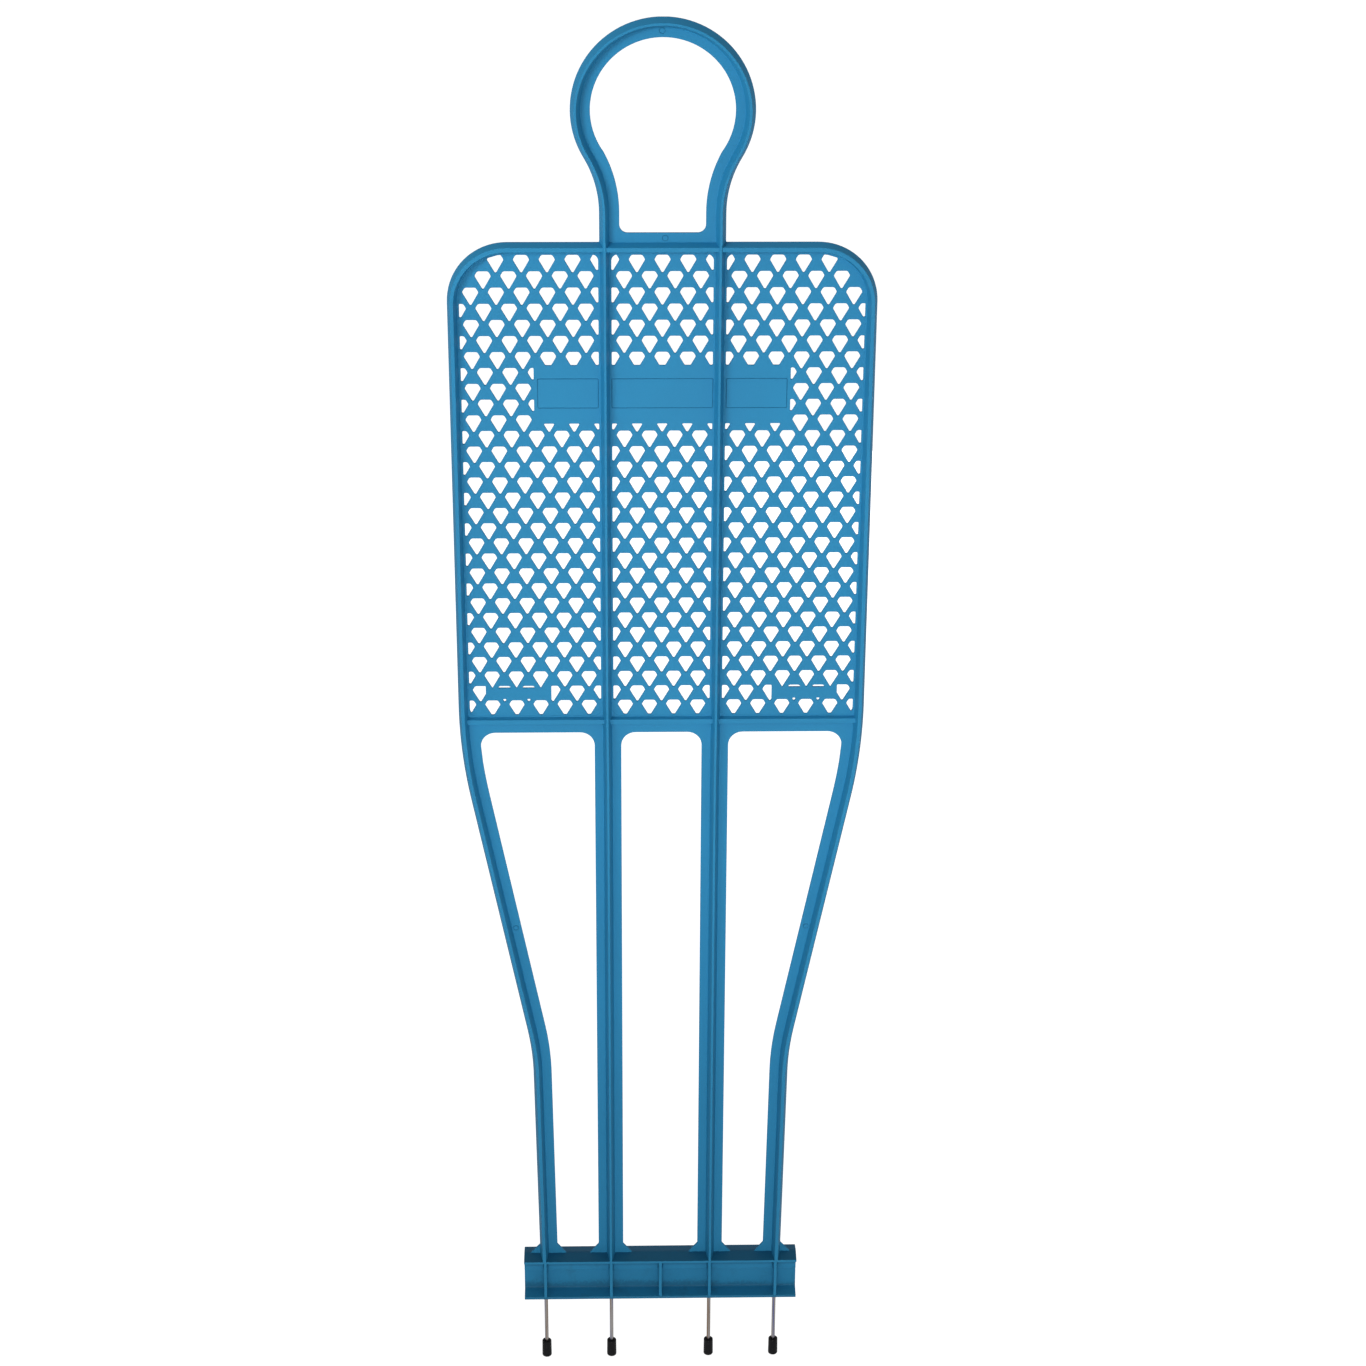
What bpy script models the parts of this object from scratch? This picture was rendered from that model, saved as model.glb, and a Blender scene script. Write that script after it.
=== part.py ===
"""Football free-kick training mannequin: a flat moulded figure on a foot bar with four ground spikes.

Frame: origin at the centre of the foot bar's underside, +Z up, the figure's front faces -Y, +X across.
Sizes below are millimetres and are scaled to metres when a mesh is built.
The figure is one moulding in reality. It is built here as zones that meet across a small gap.
"""

import math

import bmesh
import bpy
from mathutils import Vector, geometry

MM = 0.001
GAP = 0.3

# Sheet and ribs
SHEET = 3.0
EDGE_ROOT = 5.9
EDGE_CREST = 2.2
RIB_ROOT = 5.6
RIB_CREST = 1.4
FOOT_DEPTH = 18.5
HEAD_DEPTH = 14.0
LAND = 0.1
SHARP_ANGLE = 25.0

# Torso
HALF_WIDTH = 252.5
SHOULDER_TOP = 1478.2
SHOULDER_RADIUS = 71.0
SHOULDER_STEPS = 12
SHOULDER_DROP = 1.5
RIB_X = 67.5
HOLE_SIDE_MARGIN = 14.0
HOLE_RIB_MARGIN = 7.75
WAIST_BAR_Z = 865.3
WAIST_BAR_HALF = 4.9
WAIST_BAR_CREST = 3.2
WAIST_BAR_DEPTH = 7.5

# Perforation lattice
COLUMN_HALF_PITCH = 15.0
ROW_PITCH = 19.7
ROW_COUNT = 30
COLUMNS_EACH_WAY = 16
TOP_ROW_Z = 1455.2
REGION_TOP = 1464.0
REGION_BOTTOM = 873.0
REGION_RADIUS = 8.0
HOLE_TIP = -14.2
HOLE_WAIST = 2.2
HOLE_HALF_WIDTH = 9.8
HOLE_TOP = 7.3
HOLE_TOP_HALF = 6.6
LEAST_HOLE_AREA = 8.0
LEAST_EDGE = 0.2
CORNER_STEPS = 4
BADGE = (-152.5, 152.5, 1256.0, 1328.7)
LABEL_LEFT = (-218.3, -136.9, 893.7, 908.3)
LABEL_RIGHT = (136.9, 218.3, 893.7, 908.3)

# Head loop and neck
HEAD_Z = 1633.0
HEAD_RADIUS = 106.4
HEAD_BAND = 23.0
NECK_HALF = 73.8
NECK_FILLET = 127.0
NECK_FILLET_Z = 1514.0
NECK_HOLE_BOTTOM = 1489.8
NECK_HOLE_HALF = 50.3
NECK_HOLE_RADIUS = 9.5
CROWN_ANGLE = math.radians(22.0)
CROWN_STEPS = 26
CHEEK_STEPS = 9
FILLET_STEPS = 6
NECK_HOLE_TURN = 20.0
NECK_HOLE_STEPS = 5

# Legs
LEG_WIDTH = 23.8
INNER_LEG_X = 67.0
INNER_LEG_HALF = 16.7
GAP_TOP = 848.2
GAP_RADIUS = 18.0
LEG_SPLIT = 860.2
LEG_CURVE = ((886.0, 0.0), (758.0, 0.193), (418.0, 0.193), (352.0, 0.016), (0.0, 0.016))
LEG_STEPS = (5, 3, 4, 2)
EDGE_STRIDE = 4.0
GAP_TURN = 22.0
GAP_STEPS = 6
GUSSET_WIDTH = 13.0
GUSSET_HEIGHT = 16.0

# Foot bar
BAR_HALF_LENGTH = 185.0
BAR_HEIGHT = 61.2
DECK = 4.5
BASE = 5.0
PAD_Z = 38.0
PAD_Y = 4.0
BAR_RIB = 4.0
BOSS = 9.0
BOSS_TOP = 49.0
OVERLAP = 1.0

# Spikes and caps
SPIKE_X = (-156.3, -66.8, 66.8, 156.3)
SPIKE_RADIUS = 2.5
SPIKE_CHAMFER = 0.5
SPIKE_STEPS = 16
SPIKE_SEAT = 44.0
SPIKE_CONE_Z = -92.0
SPIKE_TIP_Z = -100.5
SPIKE_TIP_RADIUS = 0.4
CAP_RADIUS = 6.0
CAP_TOP = -81.0
CAP_BOTTOM = -106.0
CAP_ROUND = 2.5
CAP_LIP = 1.0
CAP_LIP_BREAK = 0.3
CAP_STEPS = 20
CAP_ROUND_STEPS = 3
TURNED_SHARP_ANGLE = 35.0


def clear_scene():
    for obj in list(bpy.data.objects):
        bpy.data.objects.remove(obj)


def material(name, colour, roughness, metallic):
    made = bpy.data.materials.new(name)
    made.use_nodes = True
    shader = made.node_tree.nodes["Principled BSDF"]
    shader.inputs["Base Color"].default_value = (*colour, 1.0)
    shader.inputs["Roughness"].default_value = roughness
    shader.inputs["Metallic"].default_value = metallic
    made.diffuse_color = (*colour, 1.0)
    return made


def finish_mesh(mesh, crease_degrees):
    """Faces out, smooth shading, and sharp edges where two faces meet at more than the crease angle."""
    work = bmesh.new()
    work.from_mesh(mesh)
    bmesh.ops.remove_doubles(work, verts=work.verts, dist=1e-6)
    bmesh.ops.recalc_face_normals(work, faces=work.faces)
    for face in work.faces:
        face.smooth = True
    for edge in work.edges:
        edge.smooth = edge.calc_face_angle(0.0) < math.radians(crease_degrees)
    work.to_mesh(mesh)
    work.free()


def add_object(name, points, faces, slot, crease_degrees=SHARP_ANGLE, origin=(0.0, 0.0, 0.0)):
    """A mesh object from points in millimetres, with its origin moved to the given place."""
    mesh = bpy.data.meshes.new(name)
    shift = Vector(origin)
    mesh.from_pydata([(Vector(p) - shift) * MM for p in points], [], faces)
    finish_mesh(mesh, crease_degrees)
    mesh.materials.append(slot)
    obj = bpy.data.objects.new(name, mesh)
    obj.location = shift * MM
    bpy.context.scene.collection.objects.link(obj)
    return obj


def plain_cap(count):
    return [tuple(range(count))]


def folded_cap(count):
    """End faces of a mitred rail: its front rib, its sheet and its rear rib lie in three planes."""
    n = count // 2
    front = tuple(range(1, n - 1))
    rear = tuple(range(n + 1, count - 1))
    return [front, (0, 1, n - 2, n - 1, n, n + 1, count - 2, count - 1), rear]


def loft(name, rings, slot, cap=plain_cap):
    """Joins rings of equal length with side faces and closes the first and last ring."""
    count = len(rings[0])
    points = [point for ring in rings for point in ring]
    last = len(points) - count
    faces = cap(count) + [tuple(last + k for k in face) for face in cap(count)]
    for start in range(0, last, count):
        for k in range(count):
            after = (k + 1) % count
            faces.append((start + k, start + after, start + count + after, start + count + k))
    return add_object(name, points, faces, slot)


def prism(name, outline, half, slot):
    """A plate in the XZ plane, of the outline given as (x, z), reaching half each way in Y."""
    return loft(name, [[(x, y, z) for x, z in outline] for y in (-half, half)], slot)


def rib_depth(z):
    """Half depth of the deep ribs, which thins from the foot bar to the head."""
    share = (z - BAR_HEIGHT) / (HEAD_Z + HEAD_RADIUS - BAR_HEIGHT)
    return FOOT_DEPTH + share * (HEAD_DEPTH - FOOT_DEPTH)


def edge_section(depth, flange, gusset):
    """Section of an edge rib as (outward, y): flange inwards, gusset outwards at a leg's foot."""
    half = SHEET / 2
    front = [(-flange, -half), (-EDGE_ROOT, -half), (-EDGE_CREST, -depth), (EDGE_CREST, -depth)]
    front += [(EDGE_ROOT, -half), (EDGE_ROOT + gusset, -half)]
    return front + [(u, -y) for u, y in reversed(front)]


def centre_section(depth, flange):
    """Section of a rib with an equal flange on both sides."""
    half = SHEET / 2
    front = [(-flange, -half), (-RIB_ROOT, -half), (-RIB_CREST, -depth)]
    front += [(-u, y) for u, y in reversed(front)]
    return front + [(u, -y) for u, y in reversed(front)]


def ring_at(place, normal, section, side):
    """The section set at a place (x, z), with u along the normal, mirrored in X when side is -1."""
    return [(side * (place[0] + u * normal[0]), y, place[1] + u * normal[1]) for u, y in section]


def arc(centre, radius, start, end, steps):
    """Points (x, z) on an arc, with angles in degrees from +X towards +Z."""
    angles = [math.radians(start + (end - start) * k / steps) for k in range(steps + 1)]
    return [(centre[0] + radius * math.cos(a), centre[1] + radius * math.sin(a)) for a in angles]


# Head loop


def head_tangent():
    """Angle on the head circle where the neck's fillet meets it."""
    centre_x = NECK_HALF + NECK_FILLET
    return math.atan2(NECK_FILLET_Z - HEAD_Z, centre_x)


def head_ring(angle, side=1):
    normal = (math.cos(angle), math.sin(angle))
    place = ((HEAD_RADIUS - EDGE_ROOT) * normal[0], HEAD_Z + (HEAD_RADIUS - EDGE_ROOT) * normal[1])
    section = edge_section(rib_depth(place[1]), HEAD_BAND - EDGE_ROOT, LAND)
    return ring_at(place, normal, section, side)


def make_crown(slot):
    step = (math.pi - 2 * CROWN_ANGLE) / CROWN_STEPS
    angles = [CROWN_ANGLE + step * k for k in range(CROWN_STEPS + 1)]
    loft("head_crown", [head_ring(a) for a in angles], slot)


def make_neck(name, side, slot):
    """Lower part of the head loop and the neck strip of one side."""
    low = head_tangent()
    top = CROWN_ANGLE - GAP / HEAD_RADIUS
    rings = [head_ring(top + (low - top) * k / CHEEK_STEPS, side) for k in range(CHEEK_STEPS + 1)]
    head_flange = HEAD_BAND - EDGE_ROOT
    neck_flange = NECK_HALF - NECK_HOLE_HALF - EDGE_ROOT
    fillet_centre = (NECK_HALF + NECK_FILLET, NECK_FILLET_Z)
    reach = NECK_FILLET + EDGE_ROOT
    for k in range(1, FILLET_STEPS + 1):
        share = k / FILLET_STEPS
        angle = low * (1 - share)
        normal = (math.cos(angle), math.sin(angle))
        place = (fillet_centre[0] - reach * normal[0], fillet_centre[1] - reach * normal[1])
        flange = head_flange + share * (neck_flange - head_flange)
        rings.append(ring_at(place, normal, edge_section(rib_depth(place[1]), flange, LAND), side))
    place = (NECK_HALF - EDGE_ROOT, SHOULDER_TOP + GAP)
    section = edge_section(rib_depth(place[1]), neck_flange, LAND)
    rings.append(ring_at(place, (1.0, 0.0), section, side))
    loft(name, rings, slot)


def make_neck_plate(slot):
    half = NECK_HOLE_HALF - GAP
    low = SHOULDER_TOP + GAP
    inner = NECK_HOLE_HALF - NECK_HOLE_RADIUS
    centre = (inner, NECK_HOLE_BOTTOM + NECK_HOLE_RADIUS)
    right = arc(centre, NECK_HOLE_RADIUS, -90.0, -NECK_HOLE_TURN, NECK_HOLE_STEPS)
    right += [(half, right[-1][1]), (half, low)]
    left = [(-x, z) for x, z in reversed(right)]
    prism("neck_plate", left + right, SHEET / 2, slot)


# Shoulder and side rails


def rail_end(base_x, y, direction):
    """X of a rail's end where it meets a vertical rib's sloping side."""
    half = SHEET / 2
    slope = (EDGE_ROOT - EDGE_CREST) / (FOOT_DEPTH - half)
    inset = max(0.0, abs(y) - half) * slope
    return base_x - direction * inset


def make_rail(name, x_low, x_high, z, section, slot, free_high=False):
    """A rail along X whose ends follow the ribs beside it. Returns its two end rings."""
    start = [(rail_end(x_low, y, 1), y, z + u) for u, y in section]
    end = [(x_high if free_high else rail_end(x_high, y, -1), y, z + u) for u, y in section]
    loft(name, [start, end], slot, folded_cap)
    return [start, end]


def make_mirrored_rail(name, rings, slot):
    loft(name, [[(-x, y, z) for x, y, z in ring] for ring in rings], slot, folded_cap)


def make_shoulders(slot):
    z = SHOULDER_TOP - EDGE_ROOT
    section = edge_section(rib_depth(z) - SHOULDER_DROP, EDGE_ROOT + LAND, LAND)
    inner = RIB_X - RIB_ROOT - GAP
    outer = RIB_X + RIB_ROOT + GAP
    corner = HALF_WIDTH - SHOULDER_RADIUS
    make_rail("shoulder_rail_centre", -inner, inner, z, section, slot)
    rings = make_rail("shoulder_rail_right", outer, corner, z, section, slot, True)
    make_mirrored_rail("shoulder_rail_left", rings, slot)


def make_side_rail(name, side, slot):
    centre = (HALF_WIDTH - SHOULDER_RADIUS, SHOULDER_TOP - SHOULDER_RADIUS)
    reach = SHOULDER_RADIUS - EDGE_ROOT
    rings = []
    first = 90.0 - math.degrees(GAP / SHOULDER_RADIUS)
    for k in range(SHOULDER_STEPS + 1):
        angle = math.radians(first * (1 - k / SHOULDER_STEPS))
        normal = (math.cos(angle), math.sin(angle))
        place = (centre[0] + reach * normal[0], centre[1] + reach * normal[1])
        section = edge_section(rib_depth(place[1]), EDGE_ROOT + LAND, LAND)
        rings.append(ring_at(place, normal, section, side))
    bend = LEG_CURVE[0][0]
    end = LEG_SPLIT + GAP
    for z in (bend, (bend + end) / 2, end):
        section = edge_section(rib_depth(z), EDGE_ROOT + LAND, LAND)
        rings.append(ring_at((leg_edge(z) - EDGE_ROOT, z), (1.0, 0.0), section, side))
    loft(name, rings, slot)


def make_torso_rib(name, side, slot):
    rings = []
    for z in (LEG_SPLIT + GAP, SHOULDER_TOP):
        section = centre_section(rib_depth(z), RIB_ROOT + LAND)
        rings.append(ring_at((RIB_X, z), (1.0, 0.0), section, side))
    loft(name, rings, slot)


# Legs


def leg_slope(z):
    """Inward slope of the outer leg's edge at a height."""
    for (z_high, s_high), (z_low, s_low) in zip(LEG_CURVE, LEG_CURVE[1:]):
        if z_low <= z <= z_high:
            return s_low + (s_high - s_low) * (z - z_low) / (z_high - z_low)
    return 0.0


def leg_edge(z):
    """X of the figure's outer edge at a height, from the slope summed down from the torso."""
    x = HALF_WIDTH
    high = LEG_CURVE[0][0]
    steps = max(1, round((high - z) / EDGE_STRIDE))
    for k in range(steps):
        x -= leg_slope(high - (k + 0.5) * (high - z) / steps) * (high - z) / steps
    return x


def gusset_share(z):
    """How far the foot gusset has grown at a height, 1 on the deck and 0 above it."""
    return max(0.0, 1.0 - (z - BAR_HEIGHT - GAP) / GUSSET_HEIGHT)


def leg_heights():
    """Heights of the outer leg's rings, from the waist to the deck, closer where its edge bends."""
    foot = BAR_HEIGHT + GAP
    heights = []
    high = LEG_SPLIT
    for (low, _), steps in zip(LEG_CURVE[1:], LEG_STEPS):
        heights += [high + (low - high) * k / steps for k in range(steps)]
        high = low
    return heights + [foot + GUSSET_HEIGHT, foot]


def make_outer_leg(name, side, slot):
    rings = []
    for z in leg_heights():
        share = gusset_share(z)
        grown = GUSSET_WIDTH * share
        level = z == LEG_SPLIT or share > 0.0
        angle = 0.0 if level else math.atan(leg_slope(z))
        normal = (math.cos(angle), -math.sin(angle))
        section = edge_section(rib_depth(z), LEG_WIDTH - EDGE_ROOT + grown, LAND + grown)
        rings.append(ring_at((leg_edge(z) - EDGE_ROOT, z), normal, section, side))
    loft(name, rings, slot)


def make_inner_leg(name, side, slot):
    foot = BAR_HEIGHT + GAP
    rings = []
    for z in (LEG_SPLIT, foot + GUSSET_HEIGHT, foot):
        section = centre_section(rib_depth(z), INNER_LEG_HALF + GUSSET_WIDTH * gusset_share(z))
        rings.append(ring_at((INNER_LEG_X, z), (1.0, 0.0), section, side))
    loft(name, rings, slot)


# Waist


def waist_bar_section():
    half = SHEET / 2
    front = [(-WAIST_BAR_HALF - LAND, -half), (-WAIST_BAR_HALF, -half)]
    front += [(-WAIST_BAR_CREST, -WAIST_BAR_DEPTH)]
    front += [(-u, y) for u, y in reversed(front)]
    return front + [(u, -y) for u, y in reversed(front)]


def make_waist_plate(name, x_low, x_high, slot, lean=0.0):
    """The plate over a leg gap, with the gap's rounded upper corners; lean slopes its outer side."""
    top = WAIST_BAR_Z - WAIST_BAR_HALF - GAP
    low = GAP_TOP - GAP_RADIUS
    right = arc((x_high - lean + GAP - GAP_RADIUS, low), GAP_RADIUS, 90.0, GAP_TURN, GAP_STEPS)
    right += [(x_high - lean, right[-1][1]), (x_high, top)]
    left = arc((x_low - GAP + GAP_RADIUS, low), GAP_RADIUS, 180.0 - GAP_TURN, 90.0, GAP_STEPS)
    outline = [(x_low, top), (x_low, left[0][1])] + left + right
    prism(name, outline, SHEET / 2, slot)
    return outline


def make_waist(slot):
    rib_inner = RIB_X - RIB_ROOT - GAP
    rib_outer = RIB_X + RIB_ROOT + GAP
    side = leg_edge(WAIST_BAR_Z) - 2 * EDGE_ROOT - GAP
    section = waist_bar_section()
    make_rail("waist_bar_centre", -rib_inner, rib_inner, WAIST_BAR_Z, section, slot)
    rings = make_rail("waist_bar_right", rib_outer, side, WAIST_BAR_Z, section, slot)
    make_mirrored_rail("waist_bar_left", rings, slot)
    leg_in = INNER_LEG_X - INNER_LEG_HALF - GAP
    leg_out = INNER_LEG_X + INNER_LEG_HALF + GAP
    leg_side = leg_edge(LEG_SPLIT) - LEG_WIDTH - 1.5 * GAP
    arc_end = GAP_TOP - GAP_RADIUS + GAP_RADIUS * math.sin(math.radians(GAP_TURN))
    lean = leg_edge(LEG_SPLIT) - leg_edge(arc_end)
    make_waist_plate("waist_plate_centre", -leg_in, leg_in, slot)
    outline = make_waist_plate("waist_plate_right", leg_out, leg_side, slot, lean)
    prism("waist_plate_left", mirror(outline), SHEET / 2, slot)


# Perforated panels


def clip(polygon, a, b, limit):
    """Keeps the part of a polygon where a * x + b * z is at most the limit."""
    kept = []
    for (x0, z0), (x1, z1) in zip(polygon, polygon[1:] + polygon[:1]):
        d0 = a * x0 + b * z0 - limit
        d1 = a * x1 + b * z1 - limit
        if d0 <= 0:
            kept.append((x0, z0))
        if (d0 < 0) != (d1 < 0) and d0 != d1:
            t = d0 / (d0 - d1)
            kept.append((x0 + t * (x1 - x0), z0 + t * (z1 - z0)))
    return kept


def area(polygon):
    pairs = zip(polygon, polygon[1:] + polygon[:1])
    return abs(sum(x0 * z1 - x1 * z0 for (x0, z0), (x1, z1) in pairs)) / 2


def clip_convex(polygon, region):
    """The part of a polygon inside a convex region whose points run anticlockwise."""
    for (x0, z0), (x1, z1) in zip(region, region[1:] + region[:1]):
        a, b = z1 - z0, x0 - x1
        polygon = clip(polygon, a, b, a * x0 + b * z0)
        if len(polygon) < 3:
            return []
    return polygon


def outside_plate(polygon, plate):
    """The largest part of a polygon beside a blank rectangular plate."""
    x_low, x_high, z_low, z_high = plate
    sides = ((1, 0, x_low), (-1, 0, -x_high), (0, 1, z_low), (0, -1, -z_high))
    parts = [clip(polygon, *side) for side in sides]
    return max((p for p in parts if len(p) > 2), key=area, default=[])


def hole_outline(x, z):
    shape = [(0.0, HOLE_TIP), (HOLE_HALF_WIDTH, HOLE_WAIST), (HOLE_TOP_HALF, HOLE_TOP)]
    shape += [(-HOLE_TOP_HALF, HOLE_TOP), (-HOLE_HALF_WIDTH, HOLE_WAIST)]
    return [(x + dx, z + dz) for dx, dz in shape]


def without_doubles(polygon):
    """Drops points that nearly repeat the one before."""
    kept = [p for p, q in zip(polygon, polygon[-1:] + polygon[:-1]) if math.dist(p, q) > LEAST_EDGE]
    return kept if len(kept) > 2 else []


def holes_in(region, shifted):
    """Every hole of one bay, cut to the bay's region and around the blank plates."""
    found = []
    for row in range(ROW_COUNT):
        z = TOP_ROW_Z - row * ROW_PITCH
        for column in range(-COLUMNS_EACH_WAY, COLUMNS_EACH_WAY + 1):
            if (row + column + shifted) % 2:
                continue
            polygon = clip_convex(hole_outline(column * COLUMN_HALF_PITCH, z), region)
            for plate in (BADGE, LABEL_LEFT, LABEL_RIGHT):
                polygon = outside_plate(polygon, plate) if polygon else []
            polygon = without_doubles(polygon) if polygon else []
            if polygon and area(polygon) > LEAST_HOLE_AREA:
                found.append(polygon)
    return found


def rounded_box(x_low, x_high, z_low, z_high, radii):
    """Anticlockwise outline with one radius for each corner, from the lower left."""
    steps = CORNER_STEPS
    r0, r1, r2, r3 = radii
    points = arc((x_low + r0, z_low + r0), r0, 180.0, 270.0, steps)
    points += arc((x_high - r1, z_low + r1), r1, 270.0, 360.0, steps)
    points += arc((x_high - r2, z_high - r2), r2, 0.0, 90.0, 2 * steps)
    return points + arc((x_low + r3, z_high - r3), r3, 90.0, 180.0, steps)


def make_panel(name, outline, holes, slot):
    """A flat upright sheet with holes: two triangulated faces and the walls between them."""
    loops = []
    flat = []
    for polygon in [outline] + holes:
        loops.append(list(range(len(flat), len(flat) + len(polygon))))
        flat += [Vector(point) for point in polygon]
    plan = geometry.delaunay_2d_cdt(flat, [], loops, 1, 1e-4)
    places, triangles, sources, inside = plan[0], plan[2], plan[3], plan[5]
    placed = {old: new for new, olds in enumerate(sources) for old in olds}
    count = len(places)
    points = [(p.x, y, p.y) for y in (-SHEET / 2, SHEET / 2) for p in places]
    faces = []
    for triangle, owners in zip(triangles, inside):
        if owners == [0]:
            faces.append(tuple(triangle))
            faces.append(tuple(count + k for k in reversed(triangle)))
    for loop in loops:
        for a, b in zip(loop, loop[1:] + loop[:1]):
            faces.append((placed[a], placed[b], count + placed[b], count + placed[a]))
    add_object(name, points, faces, slot)


def mirror(polygon):
    return [(-x, z) for x, z in reversed(polygon)]


def make_panels(slot):
    low = WAIST_BAR_Z + WAIST_BAR_HALF + GAP
    high = SHOULDER_TOP - 2 * EDGE_ROOT - GAP
    rib_in = RIB_X - RIB_ROOT - GAP - LAND
    rib_out = RIB_X + RIB_ROOT + GAP + LAND
    side = HALF_WIDTH - 2 * EDGE_ROOT - GAP - LAND
    corner = SHOULDER_RADIUS - 2 * EDGE_ROOT - GAP - LAND
    r = REGION_RADIUS
    inner_region = RIB_X - HOLE_RIB_MARGIN
    outer_region = RIB_X + HOLE_RIB_MARGIN
    side_region = HALF_WIDTH - HOLE_SIDE_MARGIN
    region = rounded_box(-inner_region, inner_region, REGION_BOTTOM, REGION_TOP, (r, r, r, r))
    outline = rounded_box(-rib_in, rib_in, low, high, (LAND, LAND, LAND, LAND))
    outline = without_doubles(outline)
    make_panel("mesh_panel_centre", outline, holes_in(region, 0), slot)
    radii = (r, r, SHOULDER_RADIUS - HOLE_SIDE_MARGIN, r)
    region = rounded_box(outer_region, side_region, REGION_BOTTOM, REGION_TOP, radii)
    outline = rounded_box(rib_out, side, low, high, (LAND, LAND, corner, LAND))
    outline = without_doubles(outline)
    outline = clip(outline, 1.0, 0.0, leg_edge(low) - 2 * EDGE_ROOT - GAP)
    make_panel("mesh_panel_right", outline, holes_in(region, 1), slot)
    make_panel("mesh_panel_left", mirror(outline), holes_in(mirror(region), 1), slot)


# Foot bar


def box(name, low, high, slot):
    (x0, y0, z0), (x1, y1, z1) = low, high
    rings = [[(x, y0, z0), (x, y1, z0), (x, y1, z1), (x, y0, z1)] for x in (x0, x1)]
    return loft(name, rings, slot)


def combine(target, other, operation):
    """Applies an exact Boolean of the other object to the target and removes the other."""
    modifier = target.modifiers.new("combine", "BOOLEAN")
    modifier.operation = operation
    modifier.solver = "EXACT"
    modifier.object = other
    bpy.context.view_layer.update()
    graph = bpy.context.evaluated_depsgraph_get()
    mesh = bpy.data.meshes.new_from_object(target.evaluated_get(graph))
    target.modifiers.clear()
    target.data = mesh
    bpy.data.objects.remove(other)


def turned(name, profile, steps, slot, origin=(0.0, 0.0, 0.0)):
    """A solid of revolution about the vertical through the origin, from (radius, z) points."""
    points = []
    rows = []
    for radius, z in profile:
        if radius == 0.0:
            rows.append([len(points)])
            points.append((origin[0], origin[1], z))
            continue
        rows.append(list(range(len(points), len(points) + steps)))
        for k in range(steps):
            a = 2 * math.pi * k / steps
            points.append((origin[0] + radius * math.cos(a), origin[1] + radius * math.sin(a), z))
    faces = []
    for upper, lower in zip(rows, rows[1:]):
        for k in range(steps):
            after = (k + 1) % steps
            quad = [upper[k % len(upper)], upper[after % len(upper)]]
            quad += [lower[after % len(lower)], lower[k % len(lower)]]
            faces.append(tuple(dict.fromkeys(quad)))
    return add_object(name, points, faces, slot, TURNED_SHARP_ANGLE, origin)


def make_foot_bar(slot):
    w = FOOT_DEPTH
    half = SHEET / 2
    deck = BAR_HEIGHT - DECK
    section = [(-w, 0.0), (w, 0.0), (w, BASE), (half, BASE), (half, deck), (w, deck)]
    section += [(w, BAR_HEIGHT), (-w, BAR_HEIGHT), (-w, deck), (-PAD_Y, deck), (-PAD_Y, PAD_Z)]
    section += [(-half, PAD_Z), (-half, BASE), (-w, BASE)]
    ends = (-BAR_HALF_LENGTH, BAR_HALF_LENGTH)
    bar = loft("foot_bar", [[(x, y, z) for y, z in section] for x in ends], slot)
    for x in (0.0, *SPIKE_X):
        low = (x - BAR_RIB / 2, -w, BASE - OVERLAP)
        high = (x + BAR_RIB / 2, w, deck + OVERLAP)
        combine(bar, box("bar_rib", low, high, slot), "UNION")
    for x in SPIKE_X:
        low = (x - BOSS / 2, -BOSS / 2, BASE - OVERLAP)
        high = (x + BOSS / 2, BOSS / 2, BOSS_TOP)
        combine(bar, box("boss", low, high, slot), "UNION")
    for x in SPIKE_X:
        r = SPIKE_RADIUS + GAP
        profile = [(0.0, SPIKE_SEAT + GAP), (r, SPIKE_SEAT + GAP), (r, -OVERLAP), (0.0, -OVERLAP)]
        combine(bar, turned("socket", profile, CAP_STEPS, slot, (x, 0.0, 0.0)), "DIFFERENCE")
    finish_mesh(bar.data, TURNED_SHARP_ANGLE)


def make_spike(name, x, slot):
    chamfer = SPIKE_RADIUS - SPIKE_CHAMFER
    profile = [(0.0, SPIKE_SEAT), (chamfer, SPIKE_SEAT)]
    profile += [(SPIKE_RADIUS, SPIKE_SEAT - SPIKE_CHAMFER)]
    profile += [(SPIKE_RADIUS, SPIKE_CONE_Z), (SPIKE_TIP_RADIUS, SPIKE_TIP_Z), (0.0, SPIKE_TIP_Z)]
    turned(name, profile, SPIKE_STEPS, slot, (x, 0.0, 0.0))


def make_cap(name, x, slot):
    """Push-on rubber cap, closed below, with a bore that follows the spike and its point."""
    bore = SPIKE_RADIUS + GAP
    profile = [(bore, CAP_TOP)]
    profile += [(CAP_RADIUS - CAP_LIP, CAP_TOP), (CAP_RADIUS - CAP_LIP_BREAK, CAP_TOP - CAP_LIP_BREAK)]
    profile += [(CAP_RADIUS, CAP_TOP - CAP_LIP)]
    middle = (CAP_RADIUS - CAP_ROUND, CAP_BOTTOM + CAP_ROUND)
    profile += arc(middle, CAP_ROUND, 0.0, -90.0, CAP_ROUND_STEPS)
    profile += [(0.0, CAP_BOTTOM)]
    profile += [(0.0, SPIKE_TIP_Z - 2 * GAP), (SPIKE_TIP_RADIUS + GAP, SPIKE_TIP_Z - 2 * GAP)]
    profile += [(bore, SPIKE_CONE_Z), (bore, CAP_TOP)]
    turned(name, profile, CAP_STEPS, slot, (x, 0.0, 0.0))


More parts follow.
